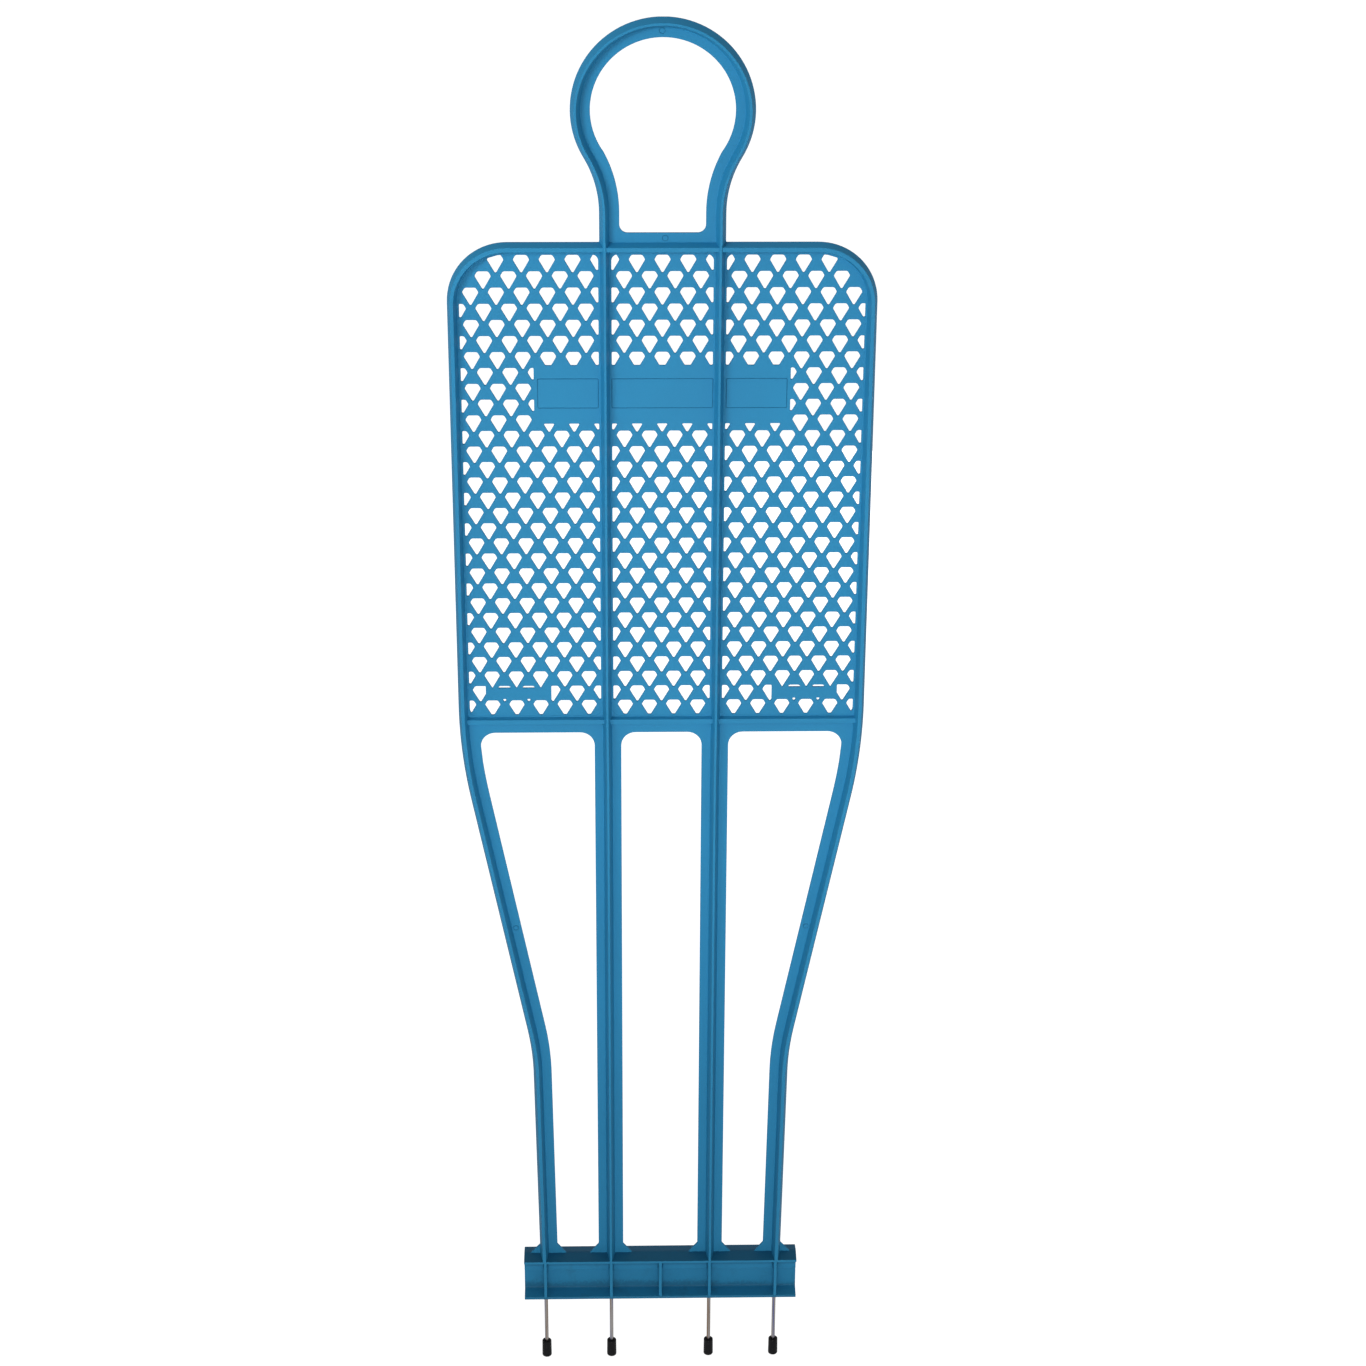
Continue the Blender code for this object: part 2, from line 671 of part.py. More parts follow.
def main():
    clear_scene()
    blue = material("blue_plastic", (0.035, 0.25, 0.48), 0.5, 0.0)
    steel = material("steel", (0.62, 0.62, 0.64), 0.25, 1.0)
    rubber = material("black_rubber", (0.012, 0.012, 0.014), 0.6, 0.0)
    make_crown(blue)
    make_neck("neck_right", 1, blue)
    make_neck("neck_left", -1, blue)
    make_neck_plate(blue)
    make_shoulders(blue)
    make_side_rail("side_rail_right", 1, blue)
    make_side_rail("side_rail_left", -1, blue)
    make_torso_rib("torso_rib_right", 1, blue)
    make_torso_rib("torso_rib_left", -1, blue)
    make_panels(blue)
    make_waist(blue)
    make_outer_leg("leg_outer_right", 1, blue)
    make_outer_leg("leg_outer_left", -1, blue)
    make_inner_leg("leg_inner_right", 1, blue)
    make_inner_leg("leg_inner_left", -1, blue)
    make_foot_bar(blue)
    for k, x in enumerate(SPIKE_X, 1):
        make_spike(f"spike_{k}", x, steel)
        make_cap(f"spike_cap_{k}", x, rubber)


main()
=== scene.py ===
# %% [markdown]
# A football training mannequin stands in for a defender in free-kick practice.
# It is one blue plastic moulding: a thin sheet, perforated over the chest so that wind passes
# through, with deep ribs round its edge and up its middle, and a channel-shaped bar at its foot.
# Four steel spikes come out of the bar, each with a rubber cap over its point.
# This lesson rebuilds each surface as a mesh and gives it a finish made from shader nodes.
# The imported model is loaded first: it says where every part is and what it moves with.

# %% Load the frame
import math

import bmesh
import bpy
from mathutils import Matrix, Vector, geometry


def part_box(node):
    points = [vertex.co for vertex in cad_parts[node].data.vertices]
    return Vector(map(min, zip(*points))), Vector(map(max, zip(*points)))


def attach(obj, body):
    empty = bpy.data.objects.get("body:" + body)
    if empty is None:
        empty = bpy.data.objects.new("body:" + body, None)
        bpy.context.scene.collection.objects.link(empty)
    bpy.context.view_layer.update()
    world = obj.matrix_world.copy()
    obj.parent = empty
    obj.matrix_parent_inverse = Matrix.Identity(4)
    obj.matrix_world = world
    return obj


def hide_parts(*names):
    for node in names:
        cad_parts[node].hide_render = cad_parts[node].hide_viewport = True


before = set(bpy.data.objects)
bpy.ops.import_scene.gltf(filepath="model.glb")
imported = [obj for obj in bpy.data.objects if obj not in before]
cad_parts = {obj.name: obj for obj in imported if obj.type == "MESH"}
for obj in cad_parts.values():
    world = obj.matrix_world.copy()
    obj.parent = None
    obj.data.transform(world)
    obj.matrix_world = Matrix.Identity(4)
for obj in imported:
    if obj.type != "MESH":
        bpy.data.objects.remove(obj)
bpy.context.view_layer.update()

# %% [markdown]
# The sizes that drive everything are in millimetres, the unit that a toolmaker would use.
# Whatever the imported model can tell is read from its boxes, so that the looks can't drift from it.
# The rest are the moulding's own sizes, such as its sheet's thickness and its ribs' widths.

# %% Sizes from the frame
MM = 0.001
X, Y, Z = 0, 1, 2


def reach(node, axis):
    """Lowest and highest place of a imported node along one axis."""
    low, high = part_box(node)
    return low[axis] / MM, high[axis] / MM


half_width = reach("side_rail_right", X)[1]
shoulder_top = reach("side_rail_right", Z)[1]
head_top = reach("head_crown", Z)[1]
deck_top = reach("foot_bar", Z)[1]
bar_end = reach("foot_bar", X)[1]
foot_depth = reach("foot_bar", Y)[1]
spike_places = [sum(reach(f"spike_{k}", X)) / 2 for k in (1, 2, 3, 4)]
ground = reach("spike_cap_1", Z)[0]
print(f"{2 * half_width:.0f} wide, {head_top - ground:.0f} high, spikes at", spike_places)

# %% Sizes of the moulding
SHEET = 3.0
PROUD = 0.02
EDGE_ROOT = 5.85
EDGE_CREST = 2.1
NO_LAND = 0.05
RIB_ROOT = 5.6
RIB_CREST = 1.35
SHOULDER_CREST = 2.6
HEAD_DEPTH = 14.0
SHOULDER_RADIUS = 71.0
RIB_X = 67.5
LEG_RIB_X = 67.0
HEAD_RADIUS = 106.4
HEAD_BAND = 23.0
NECK_HALF = 73.8
NECK_FILLET = 127.0
NECK_FILLET_Z = 1514.0
LEG_BAND = 23.8
LEG_HALF = 16.7
GAP_TOP = 848.2
GAP_RADIUS = 18.0
head_z = head_top - HEAD_RADIUS
edge = EDGE_ROOT + NO_LAND
print(f"head centre {head_z:.1f} above the bar's underside")

# %% [markdown]
# The figure's edge is straight down the chest, leans in below the hip, runs straight to the knee,
# and turns upright again for the shin. A spline would do, but summing a slope that changes evenly
# between a few heights gives the same soft turns and is easier to adjust.

# %% Outline of the leg
HIP_TOP = 886.0
THIGH_LEAN = 0.193
SHIN_LEAN = 0.016
LEG_TURNS = (
    (HIP_TOP, 0.0), (758.0, THIGH_LEAN), (418.0, THIGH_LEAN), (352.0, SHIN_LEAN), (0.0, SHIN_LEAN)
)
LEG_STEP = 4.0


def leg_slope(z):
    """Inward slope of the outer leg at a height."""
    for (z_high, s_high), (z_low, s_low) in zip(LEG_TURNS, LEG_TURNS[1:]):
        if z_low <= z <= z_high:
            return s_low + (s_high - s_low) * (z - z_low) / (z_high - z_low)
    return 0.0


def leg_edge(z):
    """X of the figure's right edge at a height."""
    fall = HIP_TOP - z
    steps = max(1, round(fall / LEG_STEP))
    heights = [z + (k + 0.5) * fall / steps for k in range(steps)]
    return half_width - sum(leg_slope(h) for h in heights) * max(fall, 0.0) / steps


def rib_depth(z):
    """Half depth of the deep ribs, which thin evenly from the foot to the head."""
    return foot_depth + (HEAD_DEPTH - foot_depth) * (z - deck_top) / (head_top - deck_top)


knee = sum(height for height, _ in LEG_TURNS[2:4]) / 2
print(f"edge at the knee {leg_edge(knee):.1f}, at the foot {leg_edge(deck_top):.1f}")

# %% [markdown]
# Nothing in a moulding is truly sharp. The cutter that makes the mould leaves a radius in every
# corner, and those radii catch the light. One helper rounds any closed outline, corner by corner,
# so it serves the holes, the gaps between the legs and the sections of the ribs alike.

# %% Round the corners of an outline
FEW_STEPS = 3
SOME_STEPS = 4
MANY_STEPS = 8
ALMOST_STRAIGHT = math.radians(89.5)
MOST_OF_A_SIDE = 0.48


def in_threes(loop):
    """Each item of a closed loop with the ones before and after it."""
    return zip(loop[-1:] + loop[:-1], loop, loop[1:] + loop[:1])


def rounded(corners, steps=SOME_STEPS):
    """A closed outline of corners (a, b, radius) as points, with each corner cut by an arc."""
    points = []
    for before, corner, after in in_threes(corners):
        here = Vector(corner[:2])
        back, onward = Vector(before[:2]) - here, Vector(after[:2]) - here
        half = back.angle(onward) / 2
        if corner[2] == 0.0 or half > ALMOST_STRAIGHT:
            points.append(tuple(here))
            continue
        room = MOST_OF_A_SIDE * min(back.length, onward.length)
        cut = min(corner[2] / math.tan(half), room)
        back, onward = back.normalized(), onward.normalized()
        centre = here + (back + onward).normalized() * cut / math.cos(half)
        start, end = here + back * cut - centre, here + onward * cut - centre
        radius, start, end = start.length, start.normalized(), end.normalized()
        turns = [start.slerp(end, k / steps) for k in range(steps + 1)]
        points += [tuple(centre + radius * turn) for turn in turns]
    return points


def arc(centre, radius, start, end, steps):
    """Points on an arc, with its angles in degrees from +X towards +Z."""
    turns = [math.radians(start + (end - start) * k / steps) for k in range(steps + 1)]
    return [(centre[0] + radius * math.cos(a), centre[1] + radius * math.sin(a)) for a in turns]


square = rounded([(0, 0, 1), (9, 0, 1), (9, 9, 1), (0, 9, 1)])
print(len(square), "points in a rounded square")

# %% [markdown]
# Several solids can share one object, as the five webs of the foot bar do.
# A small collector keeps their points and faces together and renumbers them as they arrive.

# %% Collect solids
class Solids:
    """Points and faces of several closed solids that will be one piece."""

    def __init__(self):
        self.points, self.faces = [], []

    def add(self, points, faces):
        start = len(self.points)
        self.points += points
        self.faces += [tuple(start + k for k in face) for face in faces]

    def loft(self, rings):
        """Skin over rings of equal length, with both ends closed."""
        count = len(rings[0])
        last = count * (len(rings) - 1)
        faces = [tuple(range(count)), tuple(range(last, last + count))]
        for start in range(0, last, count):
            above = start + count
            for k in range(count):
                after = (k + 1) % count
                faces.append((start + k, start + after, above + after, above + k))
        self.add([point for ring in rings for point in ring], faces)


print("solids ready")

# %% [markdown]
# Every piece becomes a mesh object in the same way: points in millimetres are scaled to metres,
# the faces are turned outwards, and an edge stays crisp only where its faces meet at a steep angle.
# Weighted normals keep broad faces looking flat next to narrow rounded ones.

# %% Make a mesh piece
CREASE = math.radians(38.0)
MOULDING = "mannequin"


def stand(name, data):
    """Puts a mesh, a light or a camera in the scene as an object."""
    made = bpy.data.objects.new(name, data)
    bpy.context.scene.collection.objects.link(made)
    return made


def piece(name, solids, body=MOULDING, stands_for=()):
    """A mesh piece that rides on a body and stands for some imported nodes."""
    mesh = bpy.data.meshes.new(name)
    mesh.from_pydata([Vector(point) * MM for point in solids.points], [], solids.faces)
    work = bmesh.new()
    work.from_mesh(mesh)
    bmesh.ops.recalc_face_normals(work, faces=work.faces)
    for face in work.faces:
        face.smooth = True
    for seam in work.edges:
        seam.smooth = seam.calc_face_angle(0.0) < CREASE
    work.to_mesh(mesh)
    work.free()
    made = stand(name, mesh)
    flat = made.modifiers.new("flat faces", "WEIGHTED_NORMAL")
    flat.keep_sharp = True
    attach(made, body)
    if stands_for:
        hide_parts(*stands_for)
    print(f"{name}: {len(mesh.polygons)} faces")
    return made


# %% [markdown]
# The chest is a sheet with hundreds of holes. Cutting them one by one with Booleans is slow
# and fragile. A constrained triangulation takes the outline and all the holes at once and fills
# only what is between them. For that a loop's direction has to be known, and each loop is moved
# in a little, because the flat face stops short of the rim.

# %% Turn and shift a loop
LEAST_SHARE = 0.35


def shifted_in(loop, distance):
    """A closed loop moved sideways, to its left as it runs, by a distance at each edge."""
    moved = []
    for before, here, after in in_threes(loop):
        here = Vector(here)
        first = (here - Vector(before)).normalized()
        second = (Vector(after) - here).normalized()
        left = Vector((-first.y - second.y, first.x + second.x)).normalized()
        share = max(LEAST_SHARE, left.dot(Vector((-first.y, first.x))))
        moved.append(tuple(here + left * distance / share))
    return moved


def turning(loop):
    """Twice the signed area of a loop, positive when it runs anticlockwise."""
    return sum(a[0] * b[1] - b[0] * a[1] for a, b in zip(loop, loop[1:] + loop[:1]))


print("a square of side 9 less its corners:", round(turning(square) / 2, 1))

# %% [markdown]
# The plate is its two flat faces, which the triangulation fills, and for each loop a strip
# of wall with a sloping chamfer at its front and at its back.

# %% Upright plate with holes
FILL_INSIDE = 1
SAME_PLACE = 1e-4


def filled(rims):
    """Places, triangles and numbered rims of the area inside the first rim only."""
    flat, ids = [], []
    for rim in rims:
        ids.append(list(range(len(flat), len(flat) + len(rim))))
        flat += [Vector(point) for point in rim]
    anticlockwise = ids[:1] + [rim[::-1] for rim in ids[1:]]
    plan = geometry.delaunay_2d_cdt(flat, [], anticlockwise, FILL_INSIDE, SAME_PLACE)
    places, triangles, sources, owners = plan[0], plan[2], plan[3], plan[5]
    placed = {old: new for new, olds in enumerate(sources) for old in olds}
    kept = [triangle for triangle, owner in zip(triangles, owners) if owner == [0]]
    return places, kept, [[placed[k] for k in rim] for rim in ids]


def add_plate(solids, outline, holes, half, chamfer):
    """An upright plate between -half and +half in Y, with chamfered rims."""
    loops = [outline if turning(outline) > 0 else outline[::-1]]
    loops += [hole if turning(hole) < 0 else hole[::-1] for hole in holes]
    places, triangles, rims = filled([shifted_in(loop, chamfer) for loop in loops])
    count = len(places)
    points = [(p.x, y, p.y) for y in (-half, half) for p in places]
    faces = []
    for triangle in triangles:
        faces += [tuple(triangle), tuple(count + k for k in reversed(triangle))]
    for loop, rim in zip(loops, rims):
        front = len(points)
        back = front + len(loop)
        points += [(x, y, z) for y in (chamfer - half, half - chamfer) for x, z in loop]
        for k in range(len(loop)):
            after = (k + 1) % len(loop)
            faces.append((rim[k], rim[after], front + after, front + k))
            faces.append((front + k, front + after, back + after, back + k))
            faces.append((back + k, back + after, count + rim[after], count + rim[k]))
    solids.add(points, faces)


# %% [markdown]
# Each hole is a tapered drop: a flat top, two short sides leaning out and two long sides meeting
# at a tip. All the slanted sides lean thirty degrees, so rows of drops nest and leave bars of even
# width between them. Where a rib or a blank plate clips a hole, the new corners are sharper.

# %% The drop-shaped hole
LEAN = math.tan(math.radians(30.0))
DROP_TOP = 7.65
DROP_WAIST = 1.75
DROP_HALF = 9.76
DROP_ROUND = 3.2
TIP_ROUND = 1.3
CLIP_ROUND = 1.3
COLUMN_STEP = 15.0
ROW_STEP = 19.68
ROWS = 30
COLUMNS = 16
TOP_ROW_DROP = 22.5
top_row = shoulder_top - TOP_ROW_DROP


def drop(x, z):
    """Corners (x, z, radius) of one hole about a lattice place."""
    shoulder = DROP_HALF - LEAN * (DROP_TOP - DROP_WAIST)
    waist, top = z + DROP_WAIST, z + DROP_TOP
    right = [(x + DROP_HALF, waist, DROP_ROUND), (x + shoulder, top, DROP_ROUND)]
    left = [(2 * x - a, b, r) for a, b, r in reversed(right)]
    return [(x, z + DROP_WAIST - DROP_HALF / LEAN, TIP_ROUND)] + right + left


def clip(corners, a, b, limit):
    """The part of an outline where a * x + b * z is at most the limit."""
    kept = []
    for (x0, z0, r0), (x1, z1, _) in zip(corners, corners[1:] + corners[:1]):
        d0, d1 = a * x0 + b * z0 - limit, a * x1 + b * z1 - limit
        if d0 <= 0:
            kept.append((x0, z0, r0))
        if (d0 < 0) != (d1 < 0) and d0 != d1:
            share = d0 / (d0 - d1)
            kept.append((x0 + share * (x1 - x0), z0 + share * (z1 - z0), CLIP_ROUND))
    return kept if len(kept) > 2 else []


def clip_to(corners, region):
    """The part of an outline inside a convex region that runs anticlockwise."""
    for (x0, z0), (x1, z1) in zip(region, region[1:] + region[:1]):
        a, b = z1 - z0, x0 - x1
        corners = clip(corners, a, b, a * x0 + b * z0) if corners else []
    return corners


drop_height = DROP_TOP - DROP_WAIST + DROP_HALF / LEAN
print(f"drop {2 * DROP_HALF:.1f} wide and {drop_height:.1f} high before rounding")

# %% [markdown]
# Three blank plates interrupt the holes: a wide one across the chest and two small ones low on
# the sides. A hole that a plate crosses leaves a piece above and a piece below. A hole that
# a plate covers from one side leaves only its largest piece. The smallest pieces are left out.

# %% Cut the holes round the blank plates
CHEST_PLATE = (-152.5, 152.5, 1256.0, 1328.7)
SIDE_PLATES = ((136.9, 218.3, 894.7, 909.5), (-218.3, -136.9, 894.7, 909.5))
LEAST_HOLE = 7.0
LEAST_CLIPPED = 14.0


def size_of(corners):
    """Area inside an outline of corners, none for an empty one."""
    return abs(turning([corner[:2] for corner in corners])) / 2 if corners else 0.0


def beside_plate(corners, plate):
    """The pieces of a hole that a blank plate leaves open."""
    x_low, x_high, z_low, z_high = plate
    sides = [clip(corners, 1, 0, x_low), clip(corners, -1, 0, -x_high)]
    levels = [clip(corners, 0, 1, z_low), clip(corners, 0, -1, -z_high)]
    if size_of(sides[0]) + size_of(sides[1]) > 0.0:
        return [max(sides + levels, key=size_of)]
    return levels


def open_parts(corners, region):
    """What the bay's edge and the blank plates leave of one hole."""
    clipped = clip_to(corners, region)
    parts = [clipped] if size_of(clipped) > LEAST_CLIPPED else []
    for plate in (CHEST_PLATE, *SIDE_PLATES):
        parts = [rest for part in parts if part for rest in beside_plate(part, plate)]
    return [part for part in parts if size_of(part) > LEAST_HOLE]


def holes_in(region, start):
    """Every hole of one bay as a rounded loop. The start is 0 or 1, the first row's stagger."""
    found = []
    for row in range(ROWS):
        for column in range(-COLUMNS, COLUMNS + 1):
            if (row + column + start) % 2 == 0:
                corners = drop(column * COLUMN_STEP, top_row - row * ROW_STEP)
                found += [rounded(part, FEW_STEPS) for part in open_parts(corners, region)]
    return found


print("blank plate", CHEST_PLATE[1] - CHEST_PLATE[0], "wide")

# %% [markdown]
# The ribs divide the chest into three bays. Holes stop a little short of each rib,
# and the outer bays follow the round of the shoulder. The bay's outline is rounded like the holes,
# because it is also a shallow step in the sheet where the mould insert for the holes begins.

# %% The three bays
BAY_BOTTOM = 873.0
BAY_DROP = 14.2
BAY_ROUND = 8.0
RIB_MARGIN = 7.75
SIDE_MARGIN = 14.0
bay_top = shoulder_top - BAY_DROP


def mirrored(loop):
    """A loop on the other side of the figure, still running the same way round."""
    return [(-x, z) for x, z in reversed(loop)]


def bay_outline(x_low, x_high, corner, grow=0.0):
    """Outline of a bay whose upper outer corner has a radius of its own."""
    low, high = (x_low - grow, BAY_BOTTOM - grow), (x_high + grow, bay_top + grow)
    soft = BAY_ROUND + grow
    corners = [(low[0], low[1], soft), (high[0], low[1], soft)]
    corners += [(high[0], high[1], corner + grow), (low[0], high[1], soft)]
    return rounded(corners, MANY_STEPS)


def bays(grow=0.0):
    """Outlines of the centre, right and left bays."""
    centre = bay_outline(RIB_MARGIN - RIB_X, RIB_X - RIB_MARGIN, BAY_ROUND, grow)
    outer = (RIB_X + RIB_MARGIN, half_width - SIDE_MARGIN, SHOULDER_RADIUS - SIDE_MARGIN)
    right = bay_outline(*outer, grow)
    return centre, right, mirrored(right)


STAGGER = (0, 1, 1)
perforations = [hole for bay, start in zip(bays(), STAGGER) for hole in holes_in(bay, start)]
print(len(perforations), "holes")

# %% [markdown]
# Two rib paths carry the figure. One runs up a leg, round the shoulder, across and down the other
# side. The other runs up an inner leg and the chest, round the head and down again. Each path is
# a list of places with the sideways direction that the rib's section lies along, and both start
# a little below the top of the foot bar, so that the legs grow out of it.

# %% Path of the outer rib
RIB_SUNK = 3.0
RIB_STEP = 12.0
SHOULDER_STEPS = 20
rib_foot = deck_top - RIB_SUNK


def outer_path():
    """Places (x, z, side_x, side_z) from the right foot to the middle of the shoulder."""
    path = []
    steps = round((HIP_TOP - rib_foot) / RIB_STEP)
    for k in range(steps + 1):
        z = rib_foot + (HIP_TOP - rib_foot) * k / steps
        lean = math.atan(leg_slope(z))
        path.append((leg_edge(z) - edge, z, math.cos(lean), -math.sin(lean)))
    centre = (half_width - SHOULDER_RADIUS, shoulder_top - SHOULDER_RADIUS)
    for x, z in arc(centre, SHOULDER_RADIUS - edge, 0.0, 90.0, SHOULDER_STEPS):
        out = Vector((x - centre[0], z - centre[1])).normalized()
        path.append((x, z, out.x, out.y))
    return path + [(RIB_X, shoulder_top - edge, 0.0, 1.0)]


def both_sides(path):
    """A right-hand path joined to its mirror image, running from the right foot to the left."""
    return path + [(-x, z, -side_x, side_z) for x, z, side_x, side_z in reversed(path)]


print(len(both_sides(outer_path())), "places on the outer rib")

# %% [markdown]
# The inner rib is straight from the foot to the shoulder, but for half a millimetre at the hip.
# At the shoulder it steps on to the neck, and a wide curve leads it into the head's circle.

# %% Path of the inner rib
BELOW_GAP_TOP = 60.0
ABOVE_GAP_TOP = 20.0
CHEST_MIDDLE = 1100.0
SHOULDER_HEIGHTS = (-9.0, -1.0, 2.0)
NECK_STEPS = 12
HEAD_STEPS = 36


def head_tangent():
    """Angle on the head's circle where the neck's curve meets it, in degrees."""
    return math.degrees(math.atan2(NECK_FILLET_Z - head_z, NECK_HALF + NECK_FILLET))


def inner_path():
    """Places from the right inner foot to the top of the head."""
    before, at, on_neck = (shoulder_top + rise for rise in SHOULDER_HEIGHTS)
    upright = [(LEG_RIB_X, rib_foot), (LEG_RIB_X, GAP_TOP - BELOW_GAP_TOP)]
    upright += [(RIB_X, z) for z in (GAP_TOP + ABOVE_GAP_TOP, CHEST_MIDDLE, before, at)]
    upright.append((NECK_HALF - edge, on_neck))
    path = [(x, z, 1.0, 0.0) for x, z in upright]
    turn, centre = head_tangent(), (NECK_HALF + NECK_FILLET, NECK_FILLET_Z)
    for x, z in arc(centre, NECK_FILLET + edge, 180.0, 180.0 + turn, NECK_STEPS):
        out = Vector((centre[0] - x, centre[1] - z)).normalized()
        path.append((x, z, out.x, out.y))
    for x, z in arc((0.0, head_z), HEAD_RADIUS - edge, turn, 90.0, HEAD_STEPS)[1:]:
        out = Vector((x, z - head_z)).normalized()
        path.append((x, z, out.x, out.y))
    return path


print(len(inner_path()), "places on half of the inner rib")

# %% [markdown]
# A rib's section is a drafted wedge on both faces of the sheet: wide at its root, narrow at its
# crest, so that it slides out of the mould. The crest is rounded and the root flows into the sheet
# with a fillet. The root ends in a short land that lies a hair above the sheet, so that the two
# surfaces never flicker.

# %% Section of a rib
ROOT_FILLET = 0.7
CREST_ROUND = 0.45
LAND = 1.5


def rib_section(depth, root, crest, inner_land, outer_land):
    """Section as (sideways, y) points, the same on the front and the rear."""
    level = -SHEET / 2 - PROUD
    front = [(-root - inner_land, level, 0.0), (-root, level, ROOT_FILLET)]
    front += [(-crest, -depth, CREST_ROUND), (crest, -depth, CREST_ROUND)]
    front += [(root, level, ROOT_FILLET), (root + outer_land, level, 0.0)]
    return rounded(front + [(u, -y, radius) for u, y, radius in reversed(front)], FEW_STEPS)


def ring_at(place, section):
    """A section stood on a place of a path."""
    x, z, side_x, side_z = place
    return [(x + u * side_x, y, z + u * side_z) for u, y in section]


print(len(rib_section(HEAD_DEPTH, RIB_ROOT, RIB_CREST, LAND, LAND)), "points in a rib's section")

# %% [markdown]
# Over the shoulders the outer rib is a little shallower and blunter, so that the upright ribs
# pass over it. The change is spread over the rounded corner, where it can't be seen as a step.
# A finished rib replaces every packed zone that it runs through.

# %% Sweep the outer rib
SHOULDER_DROP = 1.5


def shoulder_share(place):
    """0 on the upright side, 1 along the shoulder."""
    return min(1.0, max(0.0, place[3])) ** 2


outer_rings = []
for place in both_sides(outer_path()):
    along = shoulder_share(place)
    depth = rib_depth(place[1]) - SHOULDER_DROP * along
    crest = EDGE_CREST + (SHOULDER_CREST - EDGE_CREST) * along
    outer_rings.append(ring_at(place, rib_section(depth, EDGE_ROOT, crest, LAND, NO_LAND)))


def zones(*nodes, sides=("right", "left")):
    """Names of packed zones that come once for each side."""
    return [f"{node}_{side}" for node in nodes for side in sides]


swept = Solids()
swept.loft(outer_rings)
stood_for = zones("side_rail", "leg_outer", "shoulder_rail") + ["shoulder_rail_centre"]
outer_rib = piece("outer_rib", swept, stands_for=stood_for)

# %% [markdown]
# The inner rib has sheet on both sides up to the shoulder. Above it the rib is the very edge of
# the head loop, so its outer land shrinks to nothing and its root is an edge rib's.

# %% Sweep the inner rib
inner_rings = []
for place in both_sides(inner_path()[:-1]):
    on_neck = place[1] > shoulder_top
    root, outer_land = (EDGE_ROOT, NO_LAND) if on_neck else (RIB_ROOT, LAND)
    section = rib_section(rib_depth(place[1]), root, RIB_CREST, LAND, outer_land)
    inner_rings.append(ring_at(place, section))

swept = Solids()
swept.loft(inner_rings)
stood_for = zones("torso_rib", "leg_inner", "neck") + ["head_crown"]
inner_rib = piece("inner_rib", swept, stands_for=stood_for)

# %% [markdown]
# The sheet fills everything between the ribs. Its outline runs along the middle of the outer
# ribs, which hide its edge, and its openings are the head, the three gaps between the legs and
# all the holes. Its feet sink into the deck of the foot bar, with a small triangular gusset on
# each side of a leg.

# %% Openings of the sheet
DECK_RIDGE = 3.6
GUSSET_WIDE = 13.0
GUSSET_HIGH = 14.2
SUNK = 1.5
NECK_HOLE_BOTTOM = 1489.8
NECK_HOLE_HALF = 50.3
NECK_HOLE_ROUND = 9.5
FLANK_DROP = 45.0
FLANK_STEPS = 60
ridge = deck_top + DECK_RIDGE
gusset_top = ridge + GUSSET_HIGH


def leg_inside(z):
    """Inner edge of the outer leg's band, measured square to the leg."""
    lean = math.atan(leg_slope(z))
    return leg_edge(z) - LEG_BAND * math.cos(lean), z + LEG_BAND * math.sin(lean)


def side_gap():
    """The gap between the right outer leg and the right inner leg."""
    inner = LEG_RIB_X + LEG_HALF
    rise = GAP_TOP - FLANK_DROP - gusset_top
    flank = [leg_inside(gusset_top + rise * k / FLANK_STEPS) for k in range(FLANK_STEPS + 1)]
    corners = [(inner + GUSSET_WIDE, ridge - SUNK, 0.0)]
    corners += [(flank[0][0] - GUSSET_WIDE, ridge - SUNK, 0.0)]
    corners += [(x, z, 0.0) for x, z in flank]
    corners += [(leg_edge(GAP_TOP) - LEG_BAND, GAP_TOP, GAP_RADIUS)]
    corners += [(inner, GAP_TOP, GAP_RADIUS), (inner, gusset_top, 0.0)]
    return rounded(corners, MANY_STEPS)


def centre_gap():
    """The gap between the two inner legs."""
    half = LEG_RIB_X - LEG_HALF
    right = [(half - GUSSET_WIDE, ridge - SUNK, 0.0)]
    right += [(half, gusset_top, 0.0), (half, GAP_TOP, GAP_RADIUS)]
    return rounded(right + [(-x, z, radius) for x, z, radius in reversed(right)], MANY_STEPS)


def head_opening():
    """The head's opening with the neck and its flat sill."""
    turn, centre = head_tangent(), (NECK_HALF + NECK_FILLET, NECK_FILLET_Z)
    half, bottom = NECK_HOLE_HALF, NECK_HOLE_BOTTOM
    sill = [(0.0, bottom, 0.0), (half, bottom, NECK_HOLE_ROUND), (half, NECK_FILLET_Z, 0.0)]
    right = rounded(sill, MANY_STEPS)[:-1]
    right += arc(centre, centre[0] - half, 180.0, 180.0 + turn, NECK_STEPS)[:-1]
    right += arc((0.0, head_z), HEAD_RADIUS - HEAD_BAND, turn, 90.0, HEAD_STEPS)
    return right + mirrored(right[1:-1])


print("gap corners at", round(leg_edge(GAP_TOP) - LEG_BAND, 1))

# %% Outline of the sheet and the sheet itself
RIM = 0.35


def sheet_outline():
    """The figure's outline along the middle of its edge ribs, with gussets at the outer feet."""
    foot = leg_edge(deck_top)
    right = [(0.0, deck_top - SUNK), (foot + GUSSET_WIDE, deck_top - SUNK)]
    right += [(foot + GUSSET_WIDE, ridge), (foot, gusset_top)]
    right += [(x, z) for x, z, _, _ in outer_path() if z > gusset_top]
    right += [(x, z) for x, z, _, _ in inner_path() if z > shoulder_top]
    return right + mirrored(right[1:-1])


